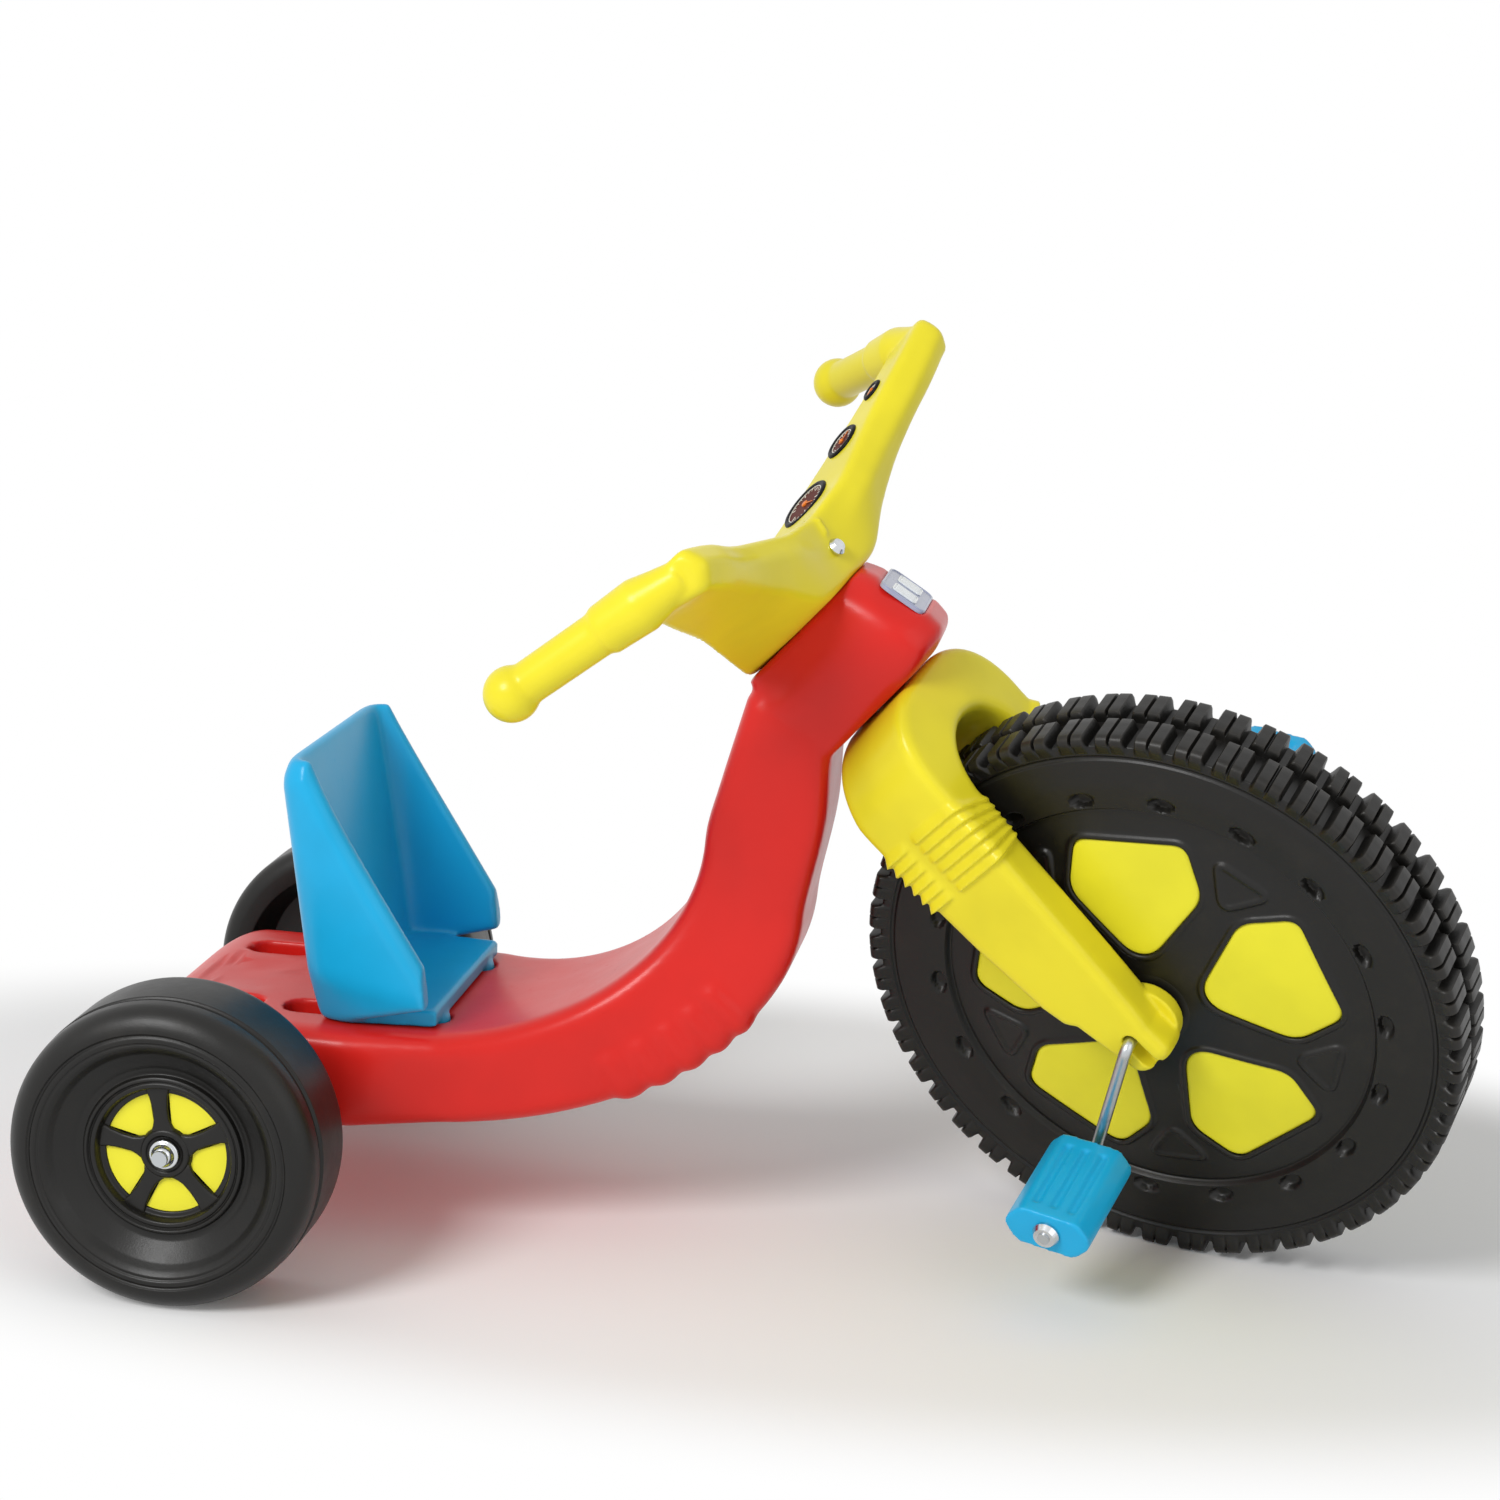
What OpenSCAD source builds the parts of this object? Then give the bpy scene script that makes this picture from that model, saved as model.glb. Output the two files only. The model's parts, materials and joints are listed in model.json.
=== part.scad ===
// Low rider tricycle for a child: a moulded frame with a plug-in bucket seat, a big lugged
// front wheel turned directly by its crank, and two wide rear wheels.
// X points forward, Y to the rider's left, Z up. The origin is on the ground under the rear axle.

/* [Stance] */
// Distance from the rear axle to the front axle
wheelbase = 609; // [590:1:630]
// Lean of the steering axis from upright, in degrees
rake = 48.9; // [46:0.1:52]
// Turn of the front end, in degrees, to the rider's right when negative
steer = -26.3; // [-32:0.1:32]
// Turn of the front wheel about its axle, in degrees
wheel_turn = 98.8; // [0:0.1:360]
// Direction of the right crank arm from the axle, in degrees
crank_turn = -103; // [-180:1:180]
// Pitch of the pedals, in degrees
pedal_pitch = -4; // [-20:1:20]
// Turn of the rear wheels about their axle, in degrees
rear_turn = 97; // [0:1:360]

/* [Front wheel] */
// Diameter over the lugs
front_d = 406; // [380:1:430]
// Width over the lugs
front_w = 61; // [54:1:68]
// Depth of the tread lugs
lug_h = 8; // [5:0.5:10]
// Number of lugs in each row
lug_n = 48; // [36:1:60]
// Angle of the gap between two lugs, in degrees
lug_gap = 2.3; // [1.6:0.1:3]
// Rounding of the tread's shoulder
shoulder_r = 5; // [3:0.5:7]
// Width of the groove between the two rows of lugs
tread_groove = 7; // [4:0.5:12]
// Width between the two side walls
wall_w = 53; // [48:0.5:54]
// Width between the two disc faces
disc_w = 41.4; // [36:0.2:46]
// Diameter of the disc inside the side wall
disc_d = 292; // [276:1:300]
// Width over the hub
hub_w = 62; // [58:0.5:70]
// Diameter of the hub
hub_d = 46; // [38:1:52]
// Number of windows
window_n = 5; // [3:1:5]
// Outer edge of a window from the axle
window_out = 126; // [118:1:132]
// Widest place of a window from the axle
window_mid = 93; // [86:1:100]
// Inner end of a window from the axle
window_in = 46; // [42:1:54]
// Depth of the window recess
window_depth = 5.5; // [4:0.5:8]
// Thickness of a window panel
panel_t = 2.5; // [1.5:0.5:3.5]
// Number of dimples round the disc
dimple_n = 18; // [10:1:20]

/* [Rear wheels] */
// Diameter of a rear wheel
rear_d = 200.6; // [186:0.2:214]
// Width of a rear wheel
rear_w = 77; // [68:1:88]
// Distance between the mid planes of the rear wheels
rear_track = 403; // [390:1:430]
// Diameter of the outer lip
lip_d = 164; // [150:1:170]
// Diameter of the raised ring round the spokes
ring_d = 98; // [88:1:108]
// Number of spokes
spoke_n = 5; // [3:1:6]
// Width of a spoke
spoke_w = 9; // [6:0.5:12]
// Depth of the hub face inside the outer face
hub_inset = 18; // [14:1:24]

/* [Axles and cranks] */
// Diameter of the rear axle
axle_d = 10; // [8:0.5:12]
// Diameter of the crank rod
rod_d = 8; // [6:0.5:10]
// Throw of the crank
crank_r = 92; // [80:1:100]
// Centre line radius of the crank rod's bends
bend_r = 6; // [5.5:0.5:9]
// Length of a pedal along its spindle
pedal_l = 80; // [65:1:95]
// Width of a pedal
pedal_w = 57; // [48:1:66]
// Thickness of a pedal
pedal_t = 29; // [24:1:34]

/* [Fork] */
// Gap between the tread and the side of a leg
leg_gap = 6.5; // [4:0.5:10]
// Thickness of a leg, across the wheel
leg_t = 33; // [28:1:38]
// Gap between the tread and the top of the arch
arch_gap = 18; // [14:1:24]
// Height of the crown over the arch
crown_h = 42; // [38:1:48]
// Number of ribs round each leg
rib_n = 6; // [3:1:8]
// Height of a rib
rib_h = 3; // [1.5:0.5:4]

/* [Steering head] */
// Diameter of the steering stem
stem_d = 22; // [18:0.5:25]
// Height of the steering head
head_h = 68; // [62:1:76]
// Half width of the steering head at its ridge
head_side = 47; // [42:1:52]
// Thickness of the bush flanges
flange_t = 2.6; // [2:0.2:4]

/* [Handlebar] */
// Half width between the two elbows
bar_side = 180; // [160:1:195]
// Half width of the flat block at the middle
bar_flat = 42; // [34:1:50]
// Rise of the wings to the elbows
bar_rise = 66; // [55:1:75]
// Forward sweep of the wings to the elbows
bar_sweep = 100; // [88:1:110]
// Diameter of the grips
grip_d = 27; // [24:0.5:30]
// Length of a grip to the centre of its ball
grip_l = 103; // [92:1:115]
// Diameter of the ball at the end of a grip
ball_d = 35; // [31:1:40]
// Diameter of the handlebar bolt
bolt_d = 6; // [5:0.5:8]

/* [Frame] */
// Height of the deck's top face
deck_z = 150; // [142:1:158]
// Height of the deck's underside
deck_low = 80; // [72:1:86]
// Half width of the deck at its top
deck_side = 115; // [108:1:120]
// Overhang of the deck behind the rear axle
deck_back = 75; // [72:1:88]
// Length of the deck in front of the rear axle
deck_front = 140; // [136:1:150]
// Half width of the neck
neck_side = 48; // [44:1:52]
// Number of flutes at the bend
flute_n = 5; // [3:1:7]
// Height of a flute
flute_h = 3; // [1.5:0.5:4]
// Length of a seat pocket
pocket_l = 50; // [40:1:54]
// Width of a seat pocket
pocket_w = 26; // [20:1:30]
// Depth of a seat pocket
pocket_h = 20; // [16:1:26]
// Distance between two pairs of pockets
pocket_step = 65; // [60:1:70]
// Number of pairs of pockets
pocket_rows = 3; // [2:1:3]

/* [Seat] */
// Width of the seat
seat_w = 212; // [190:1:218]
// Depth of the seat from its tips to the back
seat_l = 80; // [70:1:90]
// Height of the back over the deck
back_h = 177; // [150:1:200]
// Height of the wings at their tips
tip_h = 46; // [36:1:56]
// Thickness of the seat's wall
seat_t = 16; // [12:1:20]
// Thickness of the seat's pan
pan_t = 12; // [8:1:16]

/* [Fits] */
// Gap between a piece and what it turns or rests on
gap = 0.3; // [0.2:0.05:0.5]
// Radial clearance of a turning or sliding fit
fit = 0.05; // [0.03:0.01:0.08]

/* [Hidden] */
$fn = 96;
red = "#d8261f";
yellow = "#f0e02a";
blue = "#1797d8";
black = "#232220";
steel = "#c8ccd0";

// Front wheel sizes from the axle outward
front_r = front_d / 2;
rod_r = rod_d / 2;
tread_r = front_r - lug_h;
disc_r = disc_d / 2;
lug_foot = tread_r - 6;
groove_r = lug_foot - 3;
groove_h = 1.6;
wall_rise = groove_r - disc_r;
wall_step = 0.05 * wall_rise;
wall_flat = 0.48 * wall_rise;
dimple_r = disc_r + 0.22 * wall_rise;
dimple_l = 0.42 * wall_rise;
dimple_w = 0.27 * wall_rise;
dimple_h = 2.5;
pad_h = 1.2;
pad_a = 9;
pad_l = 28;
pad_round = 8;
pad_gap = 2;
window_out_a = 16.9;
window_mid_a = 27.7;
window_tip = 8;
window_round = 12;
window_z = disc_w / 2 - window_depth;
// Height of the front axle over the ground, with the turned wheel leaning on its shoulder
lean = asin(abs(sin(steer)) * sin(rake));
front_z = (front_r - shoulder_r) * cos(lean) + (front_w / 2 - shoulder_r) * sin(lean) + shoulder_r;

// Rear wheel and axle places, measured from the mid plane
rear_r = rear_d / 2;
axle_r = axle_d / 2;
wheel_in = rear_track / 2 - rear_w / 2;
wheel_out = rear_track / 2 + rear_w / 2;
hub_face = wheel_out - hub_inset;
panel_floor = hub_face - 6;
ring_face = hub_face + 4.5;
ring_r = ring_d / 2;
ring_t = 6;
lip_r = lip_d / 2;
rear_hub_r = axle_r + 12;
well_h = 28;
boss_r = axle_r + 11;
boss_face = deck_side + 3;
spacer_r = axle_r + 4;
nut_r = axle_r + 3.5;
nut_h = 6;
washer_t = 1.5;

// Heights along the steering axis, from the front axle
arch_top = front_r + arch_gap;
leg_in = front_w / 2 + leg_gap;
leg_out = leg_in + leg_t;
leg_l = arch_top - leg_in;
crown_top = arch_top + crown_h;
head_bottom = crown_top + gap + flange_t;
head_top = head_bottom + head_h;
bar_s = head_top + flange_t + gap;
stem_r = stem_d / 2;
stem_low = crown_top - 35;
stem_top = bar_s + 38;
bush_r = stem_r + 3;
bush_l = 25;
flange_r = bush_r + 6;

// Fork leg outline, as shares of the leg's length and distances from the steering axis
leg_back = [[-0.15, 13], [0.02, 20], [0.16, 25], [0.185, 31], [0.28, 35], [0.57, 38], [0.8, 38],
    [1.43, 32]];
foot_front = 16;
crown_front = 44;
foot_low = 24;
foot_round = 8;
leg_round = 9;
crown_r = 60;
crown_flat = leg_out - crown_r;
crown_s = crown_top - crown_r;
rib_low = 0.79 * leg_l;
rib_high = rib_low + 50;
rib_side = 0.9;
rib_steps = [[0, 0], [0.06, 1], [0.94, 0.06]];
strip = [0.3, 0.33, 0.42, 0.45];
end_boss_r = 24;
end_boss_l = 12;
end_face = hub_w / 2 + gap + 2.4;
axle_bush_r = rod_r + 5;
axle_bush_l = 24;
slot_w = rod_d + 2.4;

// Crank and pedal places, measured from the front wheel's mid plane
crank_off = leg_out + bend_r + 0.5;
pedal_in = crank_off + bend_r + 3;
pedal_out = pedal_in + pedal_l;
pedal_nut_h = 5;
groove_w = 5;
spindle_out = pedal_out + gap + pedal_nut_h + 1;

// Steering head outline: height over the head's bottom at the front and at the back,
// distance behind the axis, distance in front of it, half width
head_rings = [
    [0, 0, 43, 54, head_side - 9],
    [3, 4, 45, 66, head_side - 4],
    [13, 29, 46, 70, head_side],
    [head_h - 8, head_h - 7, 46, 62, head_side - 7],
    [head_h, head_h, 43, 57, head_side - 11]];
head_round = 7;
head_cut = 17;
light_w = 66;
light_h = 34;
light_t = 3;
light_round = 8;
light_sink = 2;
light_tilt = 9.5;
light_t0 = 66;
light_up = 38;
light_s0 = head_bottom + light_up;

// Handlebar section corners at the middle (rear low, front low, front high, rear high): distance
// in front of the axis and height over the bar's underside
bar_mid = [[-30, 1], [65, 0], [80, 44], [-12, 49]];
// The same corners at an elbow, from its rear low corner
bar_elbow = [[0, 0], [39, -11], [35, 22], [17, 22]];
// How early each corner moves forward and up on its way to the elbow, 1 being a straight line
bar_ease = [[1, 3], [4.4, 2.4], [1, 1], [1.25, 1]];
bar_steps = [1, 0.86, 0.72, 0.58, 0.46, 0.35, 0.28];
bar_round = 5;
bar_cap = 16;
// Start of a grip from the elbow's rear low corner, and its direction
grip_start = [16, 6, 13];
grip_turn = 153.7;
grip_tilt = 11.1;
grip_root = 6;
ball_from = -acos(grip_d / ball_d);
ball_steps = 7;
collar_d = grip_d + 5;
collar_l = 36;
collar_edge = 2;
bolt_up = 20;
bolt_s = bar_s + bolt_up;
bolt_seat = 66;
nut_seat = -16;
bolt_reach = bar_mid[2][0] + bar_mid[3][1];
bolt_sink_r = bolt_d + 1.5;
bolt_head_h = 4;
bolt_end = bolt_d + 1;
nut_share = 0.8;
dial_at = [39, 85, 127];
dial_d = [44, 30, 18];
dial_t = 3;
dial_sink = 2;
dial_lip = 1;
dial_rim = 2;

// Frame outline
deck_end_r = 36;
deck_end_w = 70;
deck_round = 20;
neck_round = 14;
foot_drop = 62;
// Places on the neck, below and above: distance behind the steering axis and height over the
// head's bottom, from its foot up to where it runs into the head
neck_at = [[[-129, -foot_drop], [-137, 21]], [[-78, -32], [-105, 38]], [[-44, -5], [-52, head_h - 4]],
    [[-31, 6], [-36, head_h - 3]]];
neck_in = [[3, 4], [4, 6], [6, 9]];
ridge_share = 0.42;
neck_ridge = 6;
deck_in = 9;
pocket_y = 60;
pocket_x = deck_front - pocket_l / 2;
peg_gap = 0.5;
peg_h = pocket_h - 4;
tray_x = 3;
tray_y = 30;
tray_h = 2;
tray_round = 22;
flute_from = 30;
flute_to = 62;

// Seat outline
tip_x = deck_front - 4;
seat_z = deck_z + gap;
seat_lean = [0.28, 0.0007];
tip_lean = 0.5;
facet_h = 34;
facet_in = 12;
seat_round = 6;
seat_square = [0.5, 0.16];
top_round = [6, 15];
tip_rise = 17;
tip_facet = 24;
wing_share = 0.8;
pan_side = 84;

// Unit vector along v
function unit(v) = v / norm(v);

// A corner at q between p and s, drawn as a curve that starts r before it
function corner(p, q, s, r, n) =
    let (a = q + unit(p - q) * min(r, 0.48 * norm(p - q)),
        b = q + unit(s - q) * min(r, 0.48 * norm(s - q)))
    [for (i = [0 : n]) let (f = i / n) (1 - f) * (1 - f) * a + 2 * f * (1 - f) * q + f * f * b];

// A closed outline with every corner rounded
function rounded(c, r, n) = let (m = len(c))
    [for (i = [0 : m - 1]) each corner(c[(i + m - 1) % m], c[i], c[(i + 1) % m], r, n)];

// A point from its distance and angle
function polar(r, a) = [r * cos(a), r * sin(a)];

// The middle of a list of points
function middle(c, i = 0) = i == len(c) - 1 ? c[i] / len(c) : c[i] / len(c) + middle(c, i + 1);

// An outline drawn in towards its middle
function drawn_in(c, d) = let (m = middle(c)) [for (p = c) p - unit(p - m) * d];

// World point of a place on the unturned steering plane
function head_point(t, y, s) =
    [wheelbase + t * cos(rake) - s * sin(rake), y, front_z + t * sin(rake) + s * cos(rake)];

// A solid skin through closed rings of equal point counts, with flat ends
module loft(rings) {
    m = len(rings[0]);
    last = (len(rings) - 1) * m;
    polyhedron(
        points = [for (g = rings) each g],
        faces = concat(
            [[for (i = [0 : m - 1]) i]],
            [[for (i = [m - 1 : -1 : 0]) last + i]],
            [for (k = [0 : len(rings) - 2]) for (i = [0 : m - 1])
                let (j = (i + 1) % m, a = k * m, b = a + m)
                each [[a + i, b + i, b + j], [a + i, b + j, a + j]]]));
}

// Places children that are drawn on the unturned steering axis
module on_head() {
    translate([wheelbase, 0, front_z]) rotate([0, -rake, 0]) children();
}

// Places children that turn with the steering
module steered() {
    on_head() rotate([0, 0, steer]) children();
}

// Places children drawn in the front wheel's plane, with z to the rider's right
module in_wheel(turn) {
    steered() rotate([90, 0, 0]) rotate([0, 0, turn - rake]) children();
}

// Places a rear wheel's pieces, drawn with z outward from the mid plane
module on_axle(side) {
    translate([0, 0, rear_r]) mirror([0, side > 0 ? 1 : 0, 0]) rotate([90, 0, 0]) children();
}

// A bar with round ends, along x
module slot(l, w, h) {
    linear_extrude(h) union() {
        square([l - w, w], center = true);
        for (x = [-1, 1]) translate([x * (l - w) / 2, 0]) circle(d = w);
    }
}

// A tube from z0 to z1
module tube(r, bore, z0, z1) {
    rotate_extrude() translate([bore, z0]) square([r - bore, z1 - z0]);
}

// Rounded outline of one front wheel window
function window_shape(inset) = rounded(drawn_in([
    polar(window_out, -window_out_a), polar(window_out, window_out_a), polar(window_mid, window_mid_a),
    [window_in, window_tip], [window_in, -window_tip], polar(window_mid, -window_mid_a)], inset),
    window_round, 4);

// Side wall, disc and hub of the front wheel, as one half of its section
function wheel_half() = [
    [rod_r + fit, hub_w / 2], [hub_d / 2, hub_w / 2], [hub_d / 2 + 4, disc_w / 2],
    [disc_r, disc_w / 2], [disc_r + wall_step, wall_w / 2 - 2], [disc_r + wall_flat, wall_w / 2],
    [groove_r - 2, wall_w / 2], [groove_r, wall_w / 2 - groove_h], [groove_r + 2, wall_w / 2],
    [tread_r - 1, wall_w / 2], [tread_r, wall_w / 2 - 2]];

// Outline of a ring of lugs, with round-bottomed gaps
function lug_ring() =
    let (pitch = 360 / lug_n, half = (pitch - lug_gap) / 2, floor_a = lug_gap * 0.3)
    [for (i = [0 : lug_n - 1]) let (a = i * pitch) each [
        polar(front_r + 2, a - half), polar(front_r + 2, a + half), polar(lug_foot + 4, a + half),
        polar(lug_foot + 1, a + half + floor_a), polar(lug_foot + 1, a + pitch - half - floor_a),
        polar(lug_foot + 4, a + pitch - half)]];

module lug_row() {
    intersection() {
        linear_extrude(front_w) polygon(lug_ring());
        rotate_extrude() polygon(concat(
            [[tread_r - 3, tread_groove / 2], [front_r, tread_groove / 2]],
            [for (a = [0 : 22.5 : 90])
                [front_r - shoulder_r, front_w / 2 - shoulder_r] + polar(shoulder_r, a)],
            [[lug_foot, wall_w / 2], [lug_foot, wall_w / 2 - 3], [tread_r - 3, wall_w / 2 - 3]]));
    }
}

module front_wheel() {
    half = wheel_half();
    color(black) in_wheel(wheel_turn) difference() {
        union() {
            rotate_extrude() polygon(concat(half,
                [for (i = [len(half) - 1 : -1 : 0]) [half[i][0], -half[i][1]]]));
            lug_row();
            mirror([0, 0, 1]) rotate([0, 0, 180 / lug_n]) lug_row();
            for (side = [0, 1]) mirror([0, 0, side]) for (i = [0 : window_n - 1])
                rotate([0, 0, (i + 0.5) * 360 / window_n]) translate([0, 0, disc_w / 2 - 1])
                    linear_extrude(1 + pad_h) polygon(rounded([polar(window_out + pad_gap, -pad_a),
                        polar(window_out + pad_gap, pad_a), [window_out - pad_l, 0]], pad_round, 3));
        }
        for (side = [0, 1]) mirror([0, 0, side]) {
            for (i = [0 : window_n - 1]) rotate([0, 0, i * 360 / window_n])
                translate([0, 0, window_z]) linear_extrude(window_depth + 1) polygon(window_shape(0));
            for (i = [0 : dimple_n - 1]) rotate([0, 0, (i + 0.5) * 360 / dimple_n])
                translate([dimple_r, 0, wall_w / 2 - 1 - dimple_h])
                    rotate([0, 0, 90]) slot(dimple_l, dimple_w, dimple_h + 3);
        }
    }
}

module window_panels(side) {
    color(yellow) in_wheel(wheel_turn) mirror([0, 0, side > 0 ? 1 : 0])
        for (i = [0 : window_n - 1]) rotate([0, 0, i * 360 / window_n])
            translate([0, 0, window_z]) linear_extrude(panel_t) polygon(window_shape(gap));
}

// One half of the crank rod, on the rider's right, with its arm along x
module crank_half() {
    arm = crank_r - 2 * bend_r;
    cylinder(r = rod_r, h = crank_off - bend_r);
    translate([bend_r, 0, crank_off - bend_r]) rotate([90, 0, 180])
        rotate_extrude(angle = 90) translate([bend_r, 0]) circle(r = rod_r);
    translate([bend_r, 0, crank_off]) rotate([0, 90, 0]) cylinder(r = rod_r, h = arm);
    translate([crank_r - bend_r, 0, crank_off + bend_r]) rotate([90, 0, 0]) mirror([0, 1, 0])
        rotate_extrude(angle = 90) translate([bend_r, 0]) circle(r = rod_r);
    translate([crank_r, 0, crank_off + bend_r])
        cylinder(r = rod_r, h = spindle_out - crank_off - bend_r);
}

module crank_rod() {
    color(steel) in_wheel(crank_turn) {
        crank_half();
        rotate([0, 180, 180]) mirror([1, 0, 0]) mirror([0, 1, 0]) crank_half();
    }
}

// Places a pedal's pieces, drawn with z outward along its spindle
module on_spindle(side) {
    in_wheel(crank_turn) rotate([0, side > 0 ? 180 : 0, 0])
        translate([crank_r, 0, 0]) rotate([0, 0, -side * (pedal_pitch - crank_turn)]) children();
}

module pedal(side) {
    half_l = pedal_w / 2;
    half_t = pedal_t / 2;
    shape = [[-half_l, -half_t * 0.25], [-half_l * 0.68, -half_t], [half_l * 0.68, -half_t],
        [half_l, -half_t * 0.25], [half_l, half_t * 0.25], [half_l * 0.68, half_t],
        [-half_l * 0.68, half_t], [-half_l, half_t * 0.25]];
    color(blue) on_spindle(side) translate([0, 0, pedal_in]) difference() {
        linear_extrude(pedal_l) polygon(rounded(shape, 4, 3));
        translate([0, 0, -1]) cylinder(r = rod_r + fit, h = pedal_l + 2);
        for (y = [-1, 1]) for (x = [-1, 0, 1])
            translate([x * half_l * 0.42 - groove_w / 2, y > 0 ? half_t - 2 : -half_t - 1, pedal_l * 0.12])
                cube([groove_w, 3, pedal_l * 0.76]);
    }
}

module pedal_nut(side) {
    color(steel) on_spindle(side) translate([0, 0, pedal_out + gap]) rotate_extrude()
        polygon([[rod_r, 0], [rod_r + 5, 0], [rod_r + 5, 1.5], [rod_r + 3, pedal_nut_h],
            [rod_r, pedal_nut_h]]);
}

// Section of a rear wheel from its bore outward, with the outer face on the side of larger z
function rear_section() = concat(
    [[axle_r + fit, wheel_in], [rear_hub_r, wheel_in], [rear_hub_r, wheel_in + well_h],
        [lip_r - 14, wheel_in + well_h], [lip_r - 4, wheel_in]],
    [for (a = [-90 : 22.5 : 0]) [rear_r - 12, wheel_in + 12] + polar(12, a)],
    [[rear_r, wheel_out - 26], [rear_r - 1.8, wheel_out - 25], [rear_r - 1.8, wheel_out - 21],
        [rear_r - 0.6, wheel_out - 20]],
    [for (a = [15 : 15 : 90]) [rear_r - 18, wheel_out - 17] + polar(17, a)],
    [[lip_r, wheel_out - 0.5], [lip_r - 4, wheel_out - 3], [lip_r - 12, wheel_out - 9],
        [ring_r + 6, ring_face - 3], [ring_r + 1, ring_face - 3.5], [ring_r, ring_face],
        [ring_r - ring_t, ring_face], [ring_r - ring_t - 1, panel_floor], [rear_hub_r, panel_floor],
        [rear_hub_r - 2, hub_face], [axle_r + fit, hub_face]]);

module rear_wheel(side) {
    color(black) on_axle(side) union() {
        rotate_extrude() polygon(rear_section());
        for (i = [0 : spoke_n - 1]) rotate([0, 0, rear_turn + i * 360 / spoke_n])
            translate([0, 0, panel_floor - 1]) linear_extrude(hub_face - panel_floor + 0.5)
                polygon([[rear_hub_r - 3, -spoke_w / 2], [ring_r - ring_t, -spoke_w * 0.7],
                    [ring_r - ring_t, spoke_w * 0.7], [rear_hub_r - 3, spoke_w / 2]]);
    }
}

// Yellow panels between the spokes
module hub_panels(side) {
    step = 360 / spoke_n;
    r_in = rear_hub_r + gap;
    r_out = ring_r - ring_t - 1 - gap;
    a_in = asin((spoke_w * 0.6 + gap) / r_in);
    a_out = asin((spoke_w * 0.7 + gap) / r_out);
    color(yellow) on_axle(side) for (i = [0 : spoke_n - 1]) rotate([0, 0, rear_turn + i * step])
        translate([0, 0, panel_floor]) linear_extrude(panel_t) polygon(concat(
            [for (f = [0 : 0.25 : 1]) polar(r_out, a_out + f * (step - 2 * a_out))],
            [for (f = [1 : -0.5 : 0]) polar(r_in, a_in + f * (step - 2 * a_in))]));
}

module rear_axle() {
    color(steel) on_axle(-1) translate([0, 0, -hub_face - nut_h - 4])
        cylinder(r = axle_r, h = 2 * (hub_face + nut_h + 4));
}

module axle_spacer(side) {
    color(steel) on_axle(side) tube(spacer_r, axle_r + fit, boss_face, wheel_in - gap);
}

module axle_nut(side) {
    color(steel) on_axle(side) translate([0, 0, hub_face + gap]) difference() {
        union() {
            cylinder(r = nut_r + 2.5, h = washer_t);
            cylinder(r = nut_r, h = washer_t + nut_h, $fn = 6);
        }
        translate([0, 0, -1]) cylinder(r = axle_r + fit, h = washer_t + nut_h + 2);
    }
}

// Distance of a fork leg's front face in front of the steering axis
function leg_front(s) = foot_front + (crown_front - foot_front) * pow(max(s, 0) / crown_top, 0.8);

// One ring of the fork between an inner and an outer place, each given as distance to the side and
// height; ribs swell it, apart from a smooth strip down its outer face
function fork_ring(p_in, p_out, grow, side) =
    let (s = p_out[1],
        f = leg_front(s) + grow,
        b = -lookup(s / leg_l, leg_back) - grow,
        y_in = side * p_in[0],
        y_out = side * p_out[0],
        y_rib = side * (p_out[0] + max(0, grow) * rib_side),
        t = [for (u = strip) b + u * (f - b)])
    rounded([[b, y_in, p_in[1]], [f, y_in, p_in[1]], [f, y_rib, s], [t[3], y_rib, s], [t[2], y_out, s],
        [t[1], y_out, s], [t[0], y_rib, s], [b, y_rib, s]], leg_round, 2);

// Rings of one fork leg, from its foot to the middle of the crown
function fork_leg(side) = let (pitch = (rib_high - rib_low) / rib_n) concat(
    [for (a = [15, 45, 90])
        let (e = foot_round * (1 - sin(a)), s = foot_round * (1 - cos(a)) - foot_low)
        fork_ring([leg_in + e, s], [leg_out - e, s], -e, side)],
    [for (f = [0.02, 0.16, 0.185, 0.28, 0.42, 0.57, 0.7])
        fork_ring([leg_in, f * leg_l], [leg_out, f * leg_l], 0, side)],
    [for (i = [0 : rib_n - 1]) for (w = rib_steps)
        let (s = rib_low + (i + w[0]) * pitch,
            s_in = rib_low + (s - rib_low) * (leg_l - rib_low) / (crown_s - rib_low))
        fork_ring([leg_in, s_in], [leg_out, s], w[1] * rib_h, side)],
    [for (a = [0 : 15 : 75]) fork_ring([leg_in * cos(a), leg_l + leg_in * sin(a)],
        [crown_flat + crown_r * cos(a), crown_s + crown_r * sin(a)], 0, side)]);

module fork() {
    right = fork_leg(-1);
    left = fork_leg(1);
    color(yellow) steered() difference() {
        union() {
            loft(concat(left, [fork_ring([0, arch_top], [0, crown_top], 0, 1)],
                [for (i = [len(right) - 1 : -1 : 0]) right[i]]));
            for (side = [-1, 1]) rotate([side * -90, 0, 0]) translate([0, 0, end_face])
                cylinder(r = end_boss_r, h = end_boss_l);
        }
        for (side = [-1, 1]) rotate([side * -90, 0, 0]) {
            translate([0, 0, end_face - 1]) cylinder(r = axle_bush_r, h = axle_bush_l + 1);
            cylinder(r = slot_w / 2, h = 2 * leg_out);
            translate([-slot_w / 2, side < 0 ? -2 * foot_low : 0, end_face + axle_bush_l])
                cube([slot_w, 2 * foot_low, leg_out]);
        }
        translate([0, 0, stem_low]) cylinder(r = stem_r + fit, h = crown_top);
    }
}

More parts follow.
